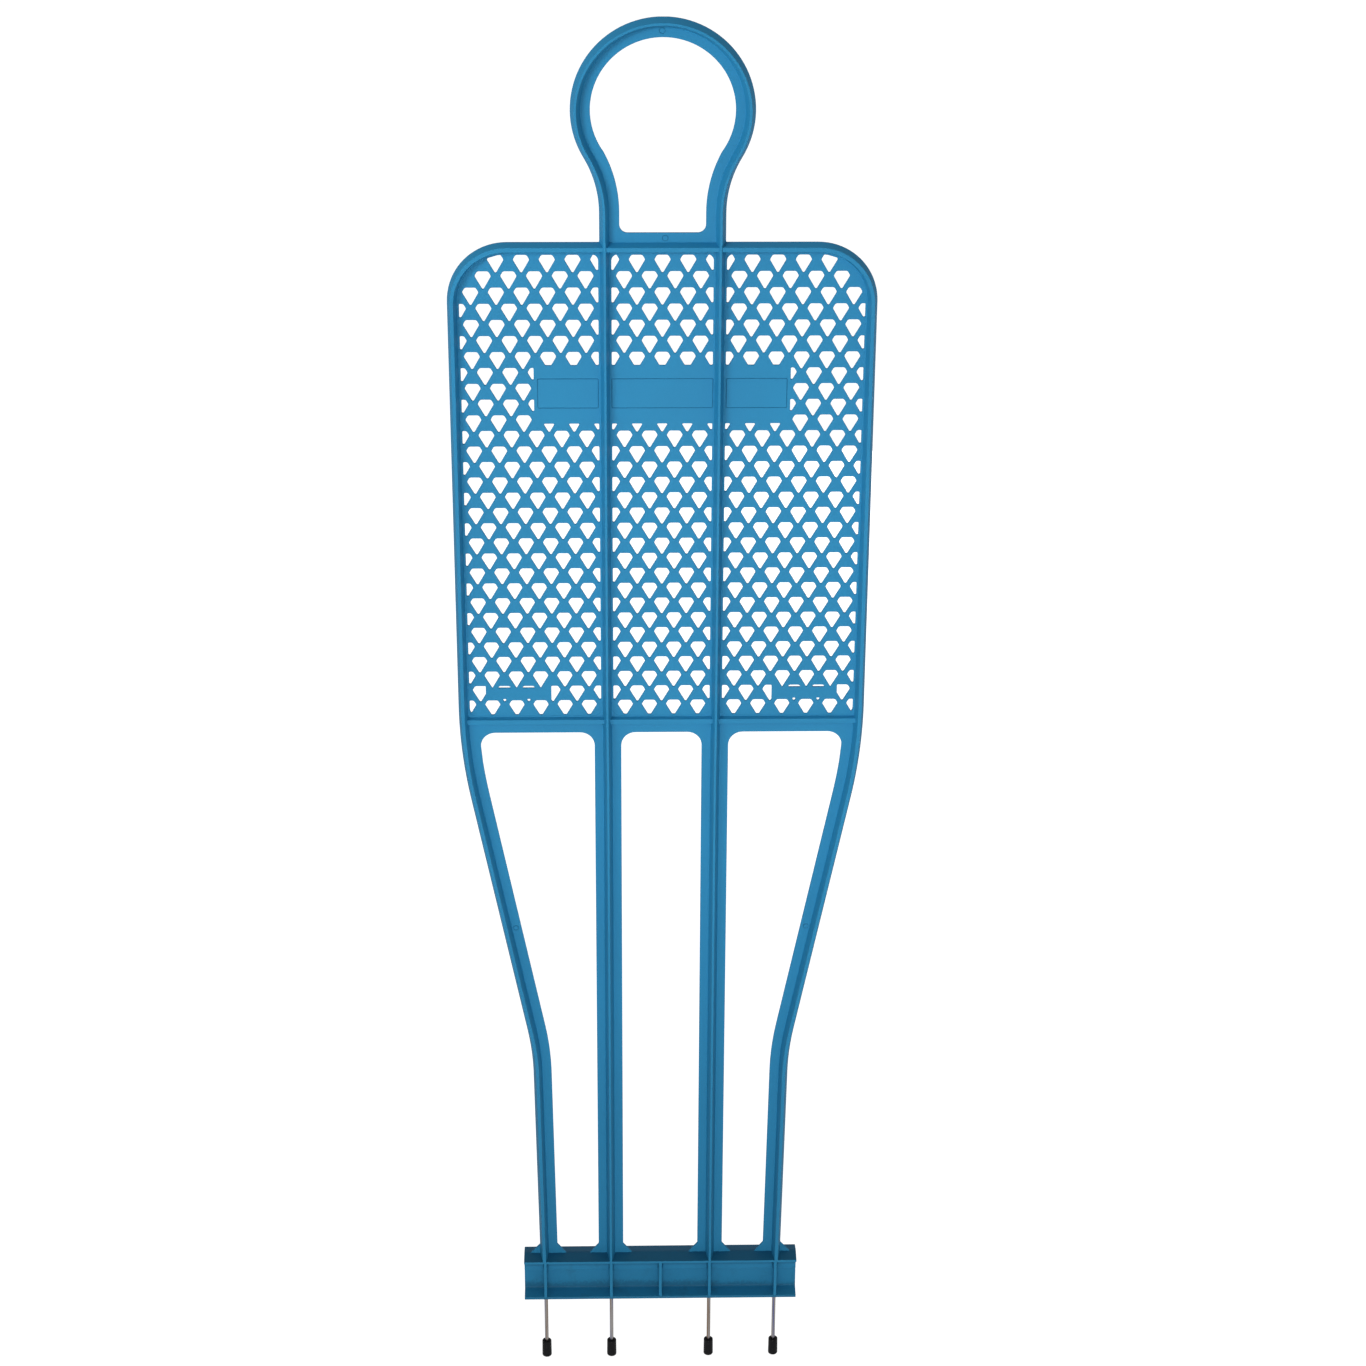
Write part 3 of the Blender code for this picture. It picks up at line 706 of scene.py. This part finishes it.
gap = side_gap()
openings = [head_opening(), centre_gap(), gap, mirrored(gap)] + perforations
sheet = Solids()
add_plate(sheet, sheet_outline(), openings, SHEET / 2, RIM)
ALL_SIDES = ("right", "left", "centre")
stood_for = zones("mesh_panel", "waist_plate", sides=ALL_SIDES) + ["neck_plate"]
moulded_sheet = piece("moulded_sheet", sheet, stands_for=stood_for)

# %% [markdown]
# Each bay is framed by a step less than half a millimetre high, where the insert that forms the
# holes meets the rest of the mould. It is a thin frame round the bay, a little thicker than the
# sheet, and its outer edge is hidden inside the ribs.

# %% Steps round the bays
STEP = 0.4
STEP_MARGIN = 0.9
STEP_HIDDEN = 1.5
frames = Solids()
for bay, rim in zip(bays(STEP_MARGIN), bays(RIB_MARGIN - STEP_HIDDEN)):
    add_plate(frames, rim, [bay], SHEET / 2 + STEP, STEP)
bay_steps = piece("bay_steps", frames)

# %% [markdown]
# The wide plate carries a plain raised border in each bay, a narrow line round a rectangle.

# %% Raised borders
BORDER_LOW = 1275.2
BORDER_HIGH = 1312.7
BORDER_LINE = 1.1
BORDER_RISE = 0.45
BORDER_ROUND = 2.0
BORDER_INNER = RIB_X - 7.0
BORDER_OUTER = RIB_X + 8.0
BORDER_END = 148.7


def border_loop(x_low, x_high, inset):
    """A rectangle of the border's height with rounded corners, moved inwards by the inset."""
    x_low, x_high = x_low + inset, x_high - inset
    z_low, z_high = BORDER_LOW + inset, BORDER_HIGH - inset
    radius = BORDER_ROUND - inset
    places = ((x_low, z_low), (x_high, z_low), (x_high, z_high), (x_low, z_high))
    return rounded([(x, z, radius) for x, z in places])


marks = Solids()
spans = ((-BORDER_INNER, BORDER_INNER), (BORDER_OUTER, BORDER_END), (-BORDER_END, -BORDER_OUTER))
for x_low, x_high in spans:
    outside, inside = border_loop(x_low, x_high, 0.0), border_loop(x_low, x_high, BORDER_LINE)
    add_plate(marks, outside, [inside], SHEET / 2 + BORDER_RISE, BORDER_RISE)
print(len(spans), "borders")

# %% [markdown]
# The small raised rings are left by the pins that push the moulding out of its mould.

# %% Ejector marks
PIN_RADIUS = 3.75
PIN_LINE = 0.9
PIN_RISE = 0.4
PIN_STEPS = 24
CROWN_PIN = (-1.0, 1724.0)
NECK_PIN = (3.0, 1483.5)
THIGH_PINS = ((187.0, 570.0), (-187.0, 570.0))
last_turn = 360.0 - 360.0 / PIN_STEPS
for pin in (CROWN_PIN, NECK_PIN, *THIGH_PINS):
    circle = arc(pin, PIN_RADIUS, 0.0, last_turn, PIN_STEPS - 1)
    within = arc(pin, PIN_RADIUS - PIN_LINE, 0.0, last_turn, PIN_STEPS - 1)
    add_plate(marks, circle, [within], SHEET / 2 + PIN_RISE, PIN_RISE)
raised_marks = piece("raised_marks", marks)

# %% [markdown]
# A low bar crosses the hip under the bays. It is about half as deep as the upright ribs and passes
# through them, so one straight bar from edge to edge looks like three that stop against the ribs.

# %% Hip bar
HIP_Z = 865.3
HIP_ROOT = 4.9
HIP_CREST = 3.2
HIP_DEPTH = 7.5
hip = Solids()
hip_end = leg_edge(HIP_Z) - edge
hip_section = rib_section(HIP_DEPTH, HIP_ROOT, HIP_CREST, LAND, LAND)
hip.loft([[(x, y, HIP_Z + u) for u, y in hip_section] for x in (-hip_end, -RIB_X, RIB_X, hip_end)])
stood_for = zones("waist_bar", sides=ALL_SIDES)
hip_bar = piece("hip_bar", hip, stands_for=stood_for)

# %% [markdown]
# The foot bar is a channel on both faces: a deck on top, a flange below and a wall between them.
# The deck is a low roof that sheds water to both sides, and the flange thins towards its edge so
# that the mould lets it go. The section is drawn once and drawn out along the bar. Bevels come
# from a modifier here, because the square-cut ends need their edges broken as well.

# %% Foot channel
DECK_EDGE = 3.3
DECK_ROOT = 6.0
FLANGE_EDGE = 4.0
FLANGE_ROOT = 8.0
CHANNEL_FILLET = 2.5
CHANNEL_ROUND = 1.0
BREAK = 0.5


def break_edges(made, width):
    """Rounds the sharp edges of a piece."""
    bevel = made.modifiers.new("broken edges", "BEVEL")
    bevel.width = width * MM
    bevel.segments = 2
    bevel.limit_method = "ANGLE"
    bevel.angle_limit = CREASE
    made.modifiers.move(len(made.modifiers) - 1, 0)


wall, lip = -SHEET / 2, -foot_depth
front_side = [(wall, ridge, CHANNEL_ROUND), (lip, deck_top, BREAK)]
front_side += [(lip, deck_top - DECK_EDGE, BREAK), (wall, deck_top - DECK_ROOT, CHANNEL_ROUND)]
front_side += [(wall, FLANGE_ROOT, CHANNEL_FILLET), (lip, FLANGE_EDGE, BREAK), (lip, 0.0, BREAK)]
rear_side = [(-y, z, radius) for y, z, radius in reversed(front_side)]
channel_section = rounded(front_side + rear_side, FEW_STEPS)
channel = Solids()
channel.loft([[(x, y, z) for y, z in channel_section] for x in (-bar_end, bar_end)])
foot_channel = piece("foot_channel", channel, stands_for=["foot_bar"])
break_edges(foot_channel, BREAK)
print(f"deck {DECK_EDGE} thick at its edge and {DECK_ROOT + DECK_RIDGE:.1f} at the wall")

# %% [markdown]
# Five webs stiffen the channel: one under each leg, which also holds a spike, and a shallower one
# in the middle. They stand a hair proud of the flange or stop short of it, never level with it,
# because two surfaces in the same place flicker.

# %% Webs of the foot bar
WEB = 4.0
WEB_PROUD = 0.25
WEB_SHORT = 0.4
WEB_BURIED = 1.5
MIDDLE_WEB_DROP = 2.0


def slab(solids, x, y, z):
    """A box between pairs of limits, each a (low, high)."""
    rings = [[(a, y[0], z[0]), (a, y[1], z[0]), (a, y[1], z[1]), (a, y[0], z[1])] for a in x]
    solids.loft(rings)


webs = Solids()
web_foot = FLANGE_EDGE - WEB_BURIED
proud, short = foot_depth + WEB_PROUD, foot_depth - WEB_SHORT
for x in spike_places:
    slab(webs, (x - WEB / 2, x + WEB / 2), (-proud, proud), (web_foot, deck_top - WEB_SHORT))
slab(webs, (-WEB / 2, WEB / 2), (-short, short), (web_foot, deck_top - MIDDLE_WEB_DROP))
foot_webs = piece("foot_webs", webs)
break_edges(foot_webs, BREAK)

# %% [markdown]
# A thicker band runs along the wall under the deck, on the front only. It stops a little short
# of each web and runs out at the ends of the bar.

# %% Bands of the foot bar
BAND_LOW = 38.0
BAND_Y = 4.0
BAND_GAP = 1.0
BAND_INTO_WALL = 0.5
BAND_INTO_DECK = 1.0
BAND_BREAK = 0.8
bands = Solids()
stops = sorted([-bar_end, 0.0, bar_end, *spike_places])
for low, high in zip(stops, stops[1:]):
    x_low = low + (WEB / 2 + BAND_GAP if low != -bar_end else 0.0)
    x_high = high - (WEB / 2 + BAND_GAP if high != bar_end else 0.0)
    across = (-BAND_Y, BAND_INTO_WALL - SHEET / 2)
    slab(bands, (x_low, x_high), across, (BAND_LOW, deck_top - DECK_ROOT + BAND_INTO_DECK))
foot_bands = piece("foot_bands", bands)
break_edges(foot_bands, BAND_BREAK)

# %% [markdown]
# Spikes and caps are round about an upright axis. A lathe turns a profile, and so does this
# helper: it sets the same (radius, height) points round the axis many times over. A profile never
# reaches the axis: it ends in a small flat, which closes as one face.

# %% Turn a profile
TURN_STEPS = 40


def turned(name, profile, x, body, node):
    """A piece turned about the upright axis through (x, 0)."""
    made = Solids()
    rings = []
    for radius, z in profile:
        spread = [2 * math.pi * k / TURN_STEPS for k in range(TURN_STEPS)]
        rings.append([(x + radius * math.cos(a), radius * math.sin(a), z) for a in spread])
    made.loft(rings)
    return piece(name, made, body, [node])


print(TURN_STEPS, "steps round a turned part")

# %% Spikes
SPIKE_RADIUS = 2.5
SPIKE_CHAMFER = 0.4
SPIKE_MIDDLE = -40.0
END_FLAT = 0.4
CONE_TOP = -92.0
CONE_SOFT = 0.6
CONE_TURN = (0.15, 0.2)
TIP_RADII = (0.5, 0.2)
spike_tip, spike_top = reach("spike_1", Z)
spike_profile = [(END_FLAT, spike_top), (SPIKE_RADIUS - SPIKE_CHAMFER, spike_top)]
spike_profile += [(SPIKE_RADIUS, spike_top - SPIKE_CHAMFER)]
spike_profile += [(SPIKE_RADIUS, z) for z in (0.0, SPIKE_MIDDLE, CONE_TOP + CONE_SOFT)]
spike_profile += [(SPIKE_RADIUS - CONE_TURN[0], CONE_TOP - CONE_TURN[1])]
spike_profile += [(TIP_RADII[0], spike_tip + CONE_SOFT), (TIP_RADII[1], spike_tip)]
spikes = []
for k, x in enumerate(spike_places, 1):
    spikes.append(turned(f"steel_spike_{k}", spike_profile, x, MOULDING, f"spike_{k}"))

# %% [markdown]
# A cap is a blunt rubber sleeve. Its profile starts at the bottom of the bore, comes up the inside,
# turns over a rounded mouth and goes down the outside, which widens slightly, to a rounded foot.

# %% Caps
CAP_SWELL = 0.5
CAP_ROUND = 2.0
BORE_PLAY = 0.3
BORE_BELOW_TIP = 0.8
MOUTH_CHAMFER = 0.4
MOUTH_ROUND = 1.0
MOUTH_STEPS = 4
CAP_DRAFT = 0.2
DRAFT_TOP = 3.0
DRAFT_FOOT = 1.0
FOOT_STEPS = 6
FOOT_FLAT = (0.5, 0.05)
cap_low, cap_high = reach("spike_cap_1", X)
cap_radius = (cap_high - cap_low) / 2 + CAP_SWELL
cap_top = reach("spike_cap_1", Z)[1]
bore = SPIKE_RADIUS + BORE_PLAY
mouth = (cap_radius - CAP_DRAFT - MOUTH_ROUND, cap_top - MOUTH_ROUND)
foot = (cap_radius - CAP_ROUND, ground + CAP_ROUND)
cap_profile = [(END_FLAT, spike_tip - BORE_BELOW_TIP), (bore, CONE_TOP)]
cap_profile += [(bore, cap_top - MOUTH_CHAMFER), (bore + MOUTH_CHAMFER, cap_top)]
cap_profile += arc(mouth, MOUTH_ROUND, 90.0, 10.0, MOUTH_STEPS)
cap_profile += [(cap_radius - CAP_DRAFT, cap_top - DRAFT_TOP)]
cap_profile += [(cap_radius, ground + CAP_ROUND + DRAFT_FOOT)]
cap_profile += arc(foot, CAP_ROUND, 0.0, -90.0, FOOT_STEPS)
cap_profile += [(FOOT_FLAT[0], ground + FOOT_FLAT[1])]
caps = []
for k, x in enumerate(spike_places, 1):
    cap, node = f"rubber_cap_{k}", f"spike_cap_{k}"
    caps.append(turned(cap, cap_profile, x, f"cap_{k}", node))

# %% [markdown]
# Finishes are made of nodes. Wiring nodes by hand hides the thinking, so a small class wraps one
# socket: arithmetic on it adds the Math nodes. Colours go through Mix nodes, because a Math node
# would turn them grey.

# %% Shader arithmetic
class Value:
    """A number that varies over a surface. Arithmetic on it adds nodes to its finish."""

    def __init__(self, finish, socket):
        self.finish, self.socket = finish, socket

    def worked(self, operation, first, second):
        return self.finish.node("Math", {"operation": operation}, {0: first, 1: second})

    def __add__(self, other):
        return self.worked("ADD", self, other)

    def __sub__(self, other):
        return self.worked("SUBTRACT", self, other)

    def __rsub__(self, other):
        return self.worked("SUBTRACT", other, self)

    def __mul__(self, other):
        return self.worked("MULTIPLY", self, other)

    def between(self, low, high):
        """0 below the low value, 1 above the high one, and smooth from one to the other."""
        sockets = {"Value": self, "From Min": low, "From Max": high}
        return self.finish.node("MapRange", {"interpolation_type": "SMOOTHSTEP"}, sockets)

    __radd__ = __add__
    __rmul__ = __mul__


print("shader arithmetic ready")

# %% Finish with one method for every node
class Finish:
    """The nodes of a material or of the world, which end in a shader."""

    def __init__(self, owner, shader="Principled BSDF"):
        owner.use_nodes = True
        self.owner, self.tree = owner, owner.node_tree
        self.shader = self.tree.nodes[shader]

    def fill(self, node, sockets):
        """Links a value to each socket that varies, and sets the others."""
        for key, value in sockets.items():
            if isinstance(value, Value):
                self.tree.links.new(value.socket, node.inputs[key])
            else:
                node.inputs[key].default_value = value

    def node(self, kind, settings, sockets, output=0):
        """Adds a node, sets it, fills its sockets with values or links, and gives one output."""
        made = self.tree.nodes.new("ShaderNode" + kind)
        for key, value in settings.items():
            setattr(made, key, value)
        self.fill(made, sockets)
        return Value(self, made.outputs[output])

    def along(self, axis, kind="TexCoord", output="Object"):
        """One coordinate of the place, or of another vector that a node gives."""
        return self.node("SeparateXYZ", {}, {"Vector": self.node(kind, {}, {}, output)}, axis)

    def noise(self, scale, detail=3.0, rough=0.5, stretch=1.0):
        """Noise with this many lumps to the metre, stretched upwards when stretch is below 1."""
        place = self.node("TexCoord", {}, {}, "Object")
        place = self.node("Mapping", {}, {"Vector": place, "Scale": (1.0, 1.0, stretch)})
        sockets = {"Vector": place, "Scale": scale, "Detail": detail, "Roughness": rough}
        return self.node("TexNoise", {}, sockets)

    def mix(self, mask, first, second):
        """A colour that goes from the first to the second as the mask rises."""
        return self.node("Mix", {"data_type": "RGBA"}, {0: mask, 6: first, 7: second}, 2)

    def bumps(self, *layers):
        """Bump nodes one on another, each with (height, distance in metres, strength)."""
        normal = None
        for height, distance, strength in layers:
            sockets = {"Height": height, "Distance": distance, "Strength": strength}
            if normal:
                sockets["Normal"] = normal
            normal = self.node("Bump", {}, sockets)
        return normal


def new_finish(name):
    """A finish for a new material."""
    return Finish(bpy.data.materials.new(name))


def paint(finish, pieces):
    """Gives a finish to some pieces."""
    for made in pieces:
        made.data.materials.append(finish.owner)
    print(f"{finish.owner.name}: {len(finish.tree.nodes)} nodes, {len(pieces)} pieces")


# %% [markdown]
# The moulding is satin polypropylene. Its colour is even but not flat: broad clouds from uneven
# pigment, fine speckle from the spark-eroded mould, faint flow lines up the legs, and pale scuffs
# along proud edges. Noise at a different scale gives each of them. Down the legs the blue is
# painted darker: painted shade for the light that falls off towards the foot.

# %% Clean blue
CLOUD_DEEP, CLOUD_PALE = (0.0205, 0.235, 0.455, 1.0), (0.0225, 0.255, 0.49, 1.0)
LOW_SHADE_BLUE = (0.016, 0.19, 0.36, 1.0)
SHADOW_BLUE = (0.008, 0.10, 0.20, 1.0)
SPECKLE_BLUE = (0.03, 0.32, 0.6, 1.0)
FLOW_BLUE = (0.008, 0.17, 0.36, 1.0)
SCUFF_BLUE = (0.10, 0.36, 0.58, 1.0)
LOW_SHADE_HEIGHTS = (-0.1, 0.7)


def clean_blue(finish, clouds, speckle, scuffs, height, shadow):
    """The moulding's colour before any dirt, with painted shade that deepens it towards the foot."""
    flow = finish.noise(60.0, 3.0, 0.6, 0.06)
    base = finish.mix(clouds, CLOUD_DEEP, CLOUD_PALE)
    # Painted shade: the blue darkens towards the foot, as if less light reached it.
    base = finish.mix((1 - height.between(*LOW_SHADE_HEIGHTS)) * 0.8, base, LOW_SHADE_BLUE)
    if shadow:
        base = finish.mix(shadow, base, SHADOW_BLUE)
    base = finish.mix(speckle.between(0.45, 0.75) * 0.16, base, SPECKLE_BLUE)
    base = finish.mix(flow.between(0.55, 0.8) * 0.10, base, FLOW_BLUE)
    return finish.mix(scuffs, base, SCUFF_BLUE)


print("legs deepen between", LOW_SHADE_HEIGHTS, "metres")

# %% [markdown]
# The foot bar is pressed on to turf. Over its colour it gets painted shade: its upward faces are
# painted darker, the deck's top far more than the flange's, and the channel is painted darker low
# down with a ragged top edge, as is the bar's lowest strip. A painted shadow lies on the wall just
# under the deck, and a faint painted shade on the wall below the band.
# Each layer is a mask made of a few ranges, in metres, over which it fades in or out.

# %% Painted shade on the foot bar
# Colours of the painted shade on the foot bar.
UPWARD_SHADE_BLUE = (0.006, 0.055, 0.10, 1.0)
CHANNEL_SHADE_BLUE = (0.008, 0.08, 0.15, 1.0)
UNDER_DECK_SHADE_BLUE = (0.008, 0.09, 0.17, 1.0)
UPWARD = (0.75, 0.92)
ABOVE_DECK = (0.074, 0.082)
ABOVE_FLANGE = (0.02, 0.05)
IN_REAR, IN_FRONT = (0.005, 0.010), (-0.010, -0.005)
CHANNEL_SHADE_FOOT, CHANNEL_SHADE_TOP = (0.0075, 0.0085), (0.034, 0.044)
EAVES_FOOT, EAVES_TOP = (0.0435, 0.0475), (0.056, 0.058)
WALL_FACE, WALL_TOP = (-0.0036, -0.0024), (0.036, 0.040)
LIP_TOP = (0.0035, 0.0045)


def shaded_foot_bar(finish, base, height):
    """The colour with the foot bar's painted shade laid over it."""
    forward = finish.along("Y")
    # Painted shade: faces that look upwards are darker, the deck's top most of all.
    upward_shade = finish.along("Z", "NewGeometry", "Normal").between(*UPWARD)
    upward_shade = upward_shade * (1 - height.between(*ABOVE_DECK))
    upward_shade = upward_shade * (0.05 + height.between(*ABOVE_FLANGE) * 0.55)
    rooted = forward.between(*IN_FRONT) * (1 - forward.between(*IN_REAR))
    ragged = finish.noise(330.0, 5.0, 0.8) * 0.022 + finish.noise(9.0, 2.0) * 0.026
    # Painted shade low on the channel wall, with a ragged top edge.
    channel_shade = (1 - (height + ragged).between(*CHANNEL_SHADE_TOP)) * height.between(*CHANNEL_SHADE_FOOT)
    # Painted shadow on the wall just under the deck's edge.
    eaves = height.between(*EAVES_FOOT) * (1 - height.between(*EAVES_TOP))
    # Faint painted shade on the channel wall below the band's height.
    wall_shade = forward.between(*WALL_FACE) * (1 - height.between(*WALL_TOP))
    base = finish.mix(upward_shade, base, UPWARD_SHADE_BLUE)
    base = finish.mix(channel_shade * rooted * 0.6, base, CHANNEL_SHADE_BLUE)
    # Painted shade along the bar's lowest strip, which would otherwise look too bright.
    base = finish.mix((1 - height.between(*LIP_TOP)) * 0.4, base, CHANNEL_SHADE_BLUE)
    base = finish.mix(eaves * rooted * 0.45, base, UNDER_DECK_SHADE_BLUE)
    return finish.mix(wall_shade * rooted * 0.08, base, UNDER_DECK_SHADE_BLUE)


print("eaves shade from", EAVES_FOOT[0], "to", EAVES_TOP[1], "metres")

# %% Blue plastic
SOIL_BLUE = (0.02, 0.10, 0.16, 1.0)
SOIL_HEIGHTS = (0.0, 0.12)


def blue_plastic(name, shadow=0.0):
    """Satin blue. The shadow darkens small raised marks, whose own shadows are too fine to see."""
    finish = new_finish(name)
    clouds = finish.noise(5.0, 4.0).between(0.3, 0.7)
    speckle = finish.noise(1100.0, 2.0, 0.6)
    scratch = finish.noise(260.0, 4.0, 0.7, 0.12)
    proud = finish.node("NewGeometry", {}, {}, "Pointiness").between(0.56, 0.66)
    scuffs = proud * scratch.between(0.52, 0.7) * 0.14
    height = finish.along("Z")
    base = clean_blue(finish, clouds, speckle, scuffs, height, shadow)
    dirt = finish.noise(45.0, 5.0, 0.7).between(0.5, 0.75)
    dirt = (1 - height.between(*SOIL_HEIGHTS)) * dirt * 0.35
    base = shaded_foot_bar(finish, finish.mix(dirt, base, SOIL_BLUE), height)
    rough = 0.46 + speckle * 0.12 + clouds * 0.05 + scuffs * 0.4 + dirt * 0.3
    dents = (finish.noise(140.0, 3.0), 0.0004, 0.2)
    grain = finish.bumps(dents, (speckle, 0.0001, 0.2), (scratch, 0.0001, 0.15))
    finish.fill(finish.shader, {"Base Color": base, "Roughness": rough, "Normal": grain})
    finish.fill(finish.shader, {"IOR": 1.33, "Specular IOR Level": 0.35})
    return finish


MARK_SHADOW = 0.6
moulding = [outer_rib, inner_rib, moulded_sheet, bay_steps, hip_bar]
paint(blue_plastic("blue_plastic"), moulding + [foot_channel, foot_webs, foot_bands])
paint(blue_plastic("blue_marks", MARK_SHADOW), [raised_marks])

# %% [markdown]
# The spikes are drawn steel rod. Drawing leaves fine lines along the rod, some brown and some
# with a blue cast, and use leaves duller patches and a little staining where turf has been.

# %% Steel
STEEL_BROWN, STEEL_GREY = (0.34, 0.22, 0.14, 1.0), (0.50, 0.48, 0.47, 1.0)
STEEL_BLUE, STAIN_BROWN = (0.17, 0.19, 0.42, 1.0), (0.30, 0.20, 0.14, 1.0)


def spike_steel():
    """Drawn steel with streaks along it."""
    finish = new_finish("spike_steel")
    drawn = finish.noise(900.0, 3.0, 0.6, 0.02)
    patches = finish.noise(70.0, 4.0, 0.6)
    stain = finish.noise(160.0, 5.0, 0.7).between(0.56, 0.72) * 0.5
    streak = finish.noise(420.0, 1.0, 0.4, 0.02)
    base = finish.mix(streak.between(0.3, 0.5), STEEL_BROWN, STEEL_GREY)
    base = finish.mix(streak.between(0.5, 0.7), base, STEEL_BLUE)
    base = finish.mix(stain, base, STAIN_BROWN)
    rough = 0.20 + drawn * 0.10 + patches * 0.08 + stain * 0.3
    lines = finish.bumps((drawn, 0.0001, 0.3), (patches, 0.0002, 0.1))
    finish.fill(finish.shader, {"Base Color": base, "Roughness": rough, "Normal": lines})
    finish.fill(finish.shader, {"Metallic": 1.0})
    return finish


paint(spike_steel(), spikes)

# %% [markdown]
# The caps are soft black rubber, satin and slightly chalky. Handling polishes them unevenly,
# and dry soil stays in the lower round.

# %% Rubber
RUBBER_BLACK, RUBBER_CHALK = (0.0035, 0.0035, 0.005, 1.0), (0.010, 0.010, 0.012, 1.0)
DRY_SOIL = (0.05, 0.04, 0.03, 1.0)
SOIL_RISE = 7.0


def cap_rubber():
    """Chalky black rubber with soil low down."""
    finish = new_finish("cap_rubber")
    chalk = finish.noise(180.0, 4.0, 0.6).between(0.4, 0.75)
    grain = finish.noise(1600.0, 2.0, 0.6)
    base = finish.mix(chalk * 0.5, RUBBER_BLACK, RUBBER_CHALK)
    low_down = 1 - finish.along("Z").between(ground * MM, (ground + SOIL_RISE) * MM)
    soil = low_down * finish.noise(420.0, 4.0, 0.7).between(0.5, 0.7)
    base = finish.mix(soil * 0.15, base, DRY_SOIL)
    rough = 0.38 + chalk * 0.2 + soil * 0.2
    skin = finish.bumps((grain, 0.0001, 0.3), (chalk, 0.0003, 0.12))
    finish.fill(finish.shader, {"Base Color": base, "Roughness": rough, "Normal": skin})
    finish.fill(finish.shader, {"Specular IOR Level": 0.18})
    return finish


paint(cap_rubber(), caps)

# %% [markdown]
# The object stands on its caps on a plain pale floor that fills the view. A light table gives
# such an even, shadowless white, so the floor glows. It neither lights the figure nor shows in
# its reflections: the world does that from below.

# %% Floor
FLOOR_HALF = 30.0
WHITE = (1.0, 1.0, 1.0, 1.0)
PAPER_PALE, PAPER_GREY = (0.30, 0.30, 0.30, 1.0), (0.28, 0.28, 0.285, 1.0)
PAPER_GLOW = 0.97
mesh = bpy.data.meshes.new("studio_floor")
level = ground * MM
corners = [(x * FLOOR_HALF, y * FLOOR_HALF) for x, y in ((-1, -1), (1, -1), (1, 1), (-1, 1))]
mesh.from_pydata([(x, y, level) for x, y in corners], [], [(0, 1, 2, 3)])
floor = stand("studio_floor", mesh)
paper = new_finish("studio_paper")
tint = paper.mix(paper.noise(3.0).between(0.3, 0.7) * 0.5, PAPER_PALE, PAPER_GREY)
paper.fill(paper.shader, {"Base Color": tint, "Roughness": 0.9, "Specular IOR Level": 0.1})
paper.fill(paper.shader, {"Emission Color": WHITE, "Emission Strength": PAPER_GLOW})
paint(paper, [floor])
floor.visible_diffuse = False
floor.visible_glossy = False
print("floor at", round(level, 4))

# %% [markdown]
# The world is a plain glow, stronger from below than from above, as it is over a light table.
# It lights the figure from all round, and looks pure white itself, like the floor.

# %% World
FLOOR_GLOW = 0.55
CEILING_GLOW = 0.34
GLOW_FROM, GLOW_TO = -0.5, 0.6
world = bpy.data.worlds.new("studio")
air = Finish(world, "Background")
sockets = {"Value": air.along("Z", "TexCoord", "Generated"), "From Min": GLOW_FROM}
sockets.update({"From Max": GLOW_TO, "To Min": FLOOR_GLOW, "To Max": CEILING_GLOW})
glow = air.node("MapRange", {"interpolation_type": "SMOOTHSTEP"}, sockets)
seen = air.node("LightPath", {}, {}, "Is Camera Ray")
air.fill(air.shader, {"Color": WHITE, "Strength": seen + (1 - seen) * glow})
bpy.context.scene.world = world
bpy.context.scene.view_settings.view_transform = "Standard"
print("glow from below", FLOOR_GLOW, "and from above", CEILING_GLOW)

# %% [markdown]
# Three soft lights shape the figure. A low one in front reaches the legs and the foot bar, and one
# on the upper left the head and chest, so that the ribs' left slopes are bright and their right
# ones dark. A narrow spread keeps each to its own half. A wide one behind keeps the back readable,
# and is left out of reflections so that it draws no streak on the deck.

# %% Light
FRONT_PLACE, FRONT_AIM = (-0.1, -3.6, 0.35), (0.0, 0.0, 0.35)
SIDE_PLACE, SIDE_AIM = (-1.5, -2.1, 2.35), (0.0, 0.0, 1.55)
BACK_PLACE, BACK_AIM = (1.2, 3.5, 0.7), (0.0, 0.0, 0.9)


def soft_light(name, place, aim, size, power, spread=180.0):
    """A square area light at a place, turned to an aim, in metres, watts and degrees of spread."""
    lamp = bpy.data.lights.new(name, "AREA")
    lamp.spread = math.radians(spread)
    lamp.size = size
    lamp.energy = power
    made = stand(name, lamp)
    made.location = place
    made.rotation_euler = (Vector(aim) - Vector(place)).to_track_quat("-Z", "Y").to_euler()
    print(f"{name}: {power} W, {size} m across")
    return made


soft_light("front_light", FRONT_PLACE, FRONT_AIM, size=1.8, power=7.2, spread=50.0)
soft_light("side_light", SIDE_PLACE, SIDE_AIM, size=0.9, power=2.5, spread=44.0)
back_light = soft_light("back_light", BACK_PLACE, BACK_AIM, size=1.6, power=45.0)
back_light.visible_glossy = False

# %% [markdown]
# The camera stands a little over three metres in front and well above the head, looking down
# with a lens of moderate length.

# %% Camera
CAMERA_PLACE = (-0.0577, -3.3155, 2.4223)
CAMERA_TURN = (65.5577, -0.2984, -1.3213)
FOCAL_LENGTH = 77.256
SENSOR_WIDTH = 36.0
lens = bpy.data.cameras.new("camera")
lens.lens = FOCAL_LENGTH
lens.sensor_width = SENSOR_WIDTH
camera = stand("camera", lens)
camera.location = CAMERA_PLACE
camera.rotation_euler = [math.radians(angle) for angle in CAMERA_TURN]
bpy.context.scene.camera = camera
print("camera", round(lens.lens, 1), "mm")
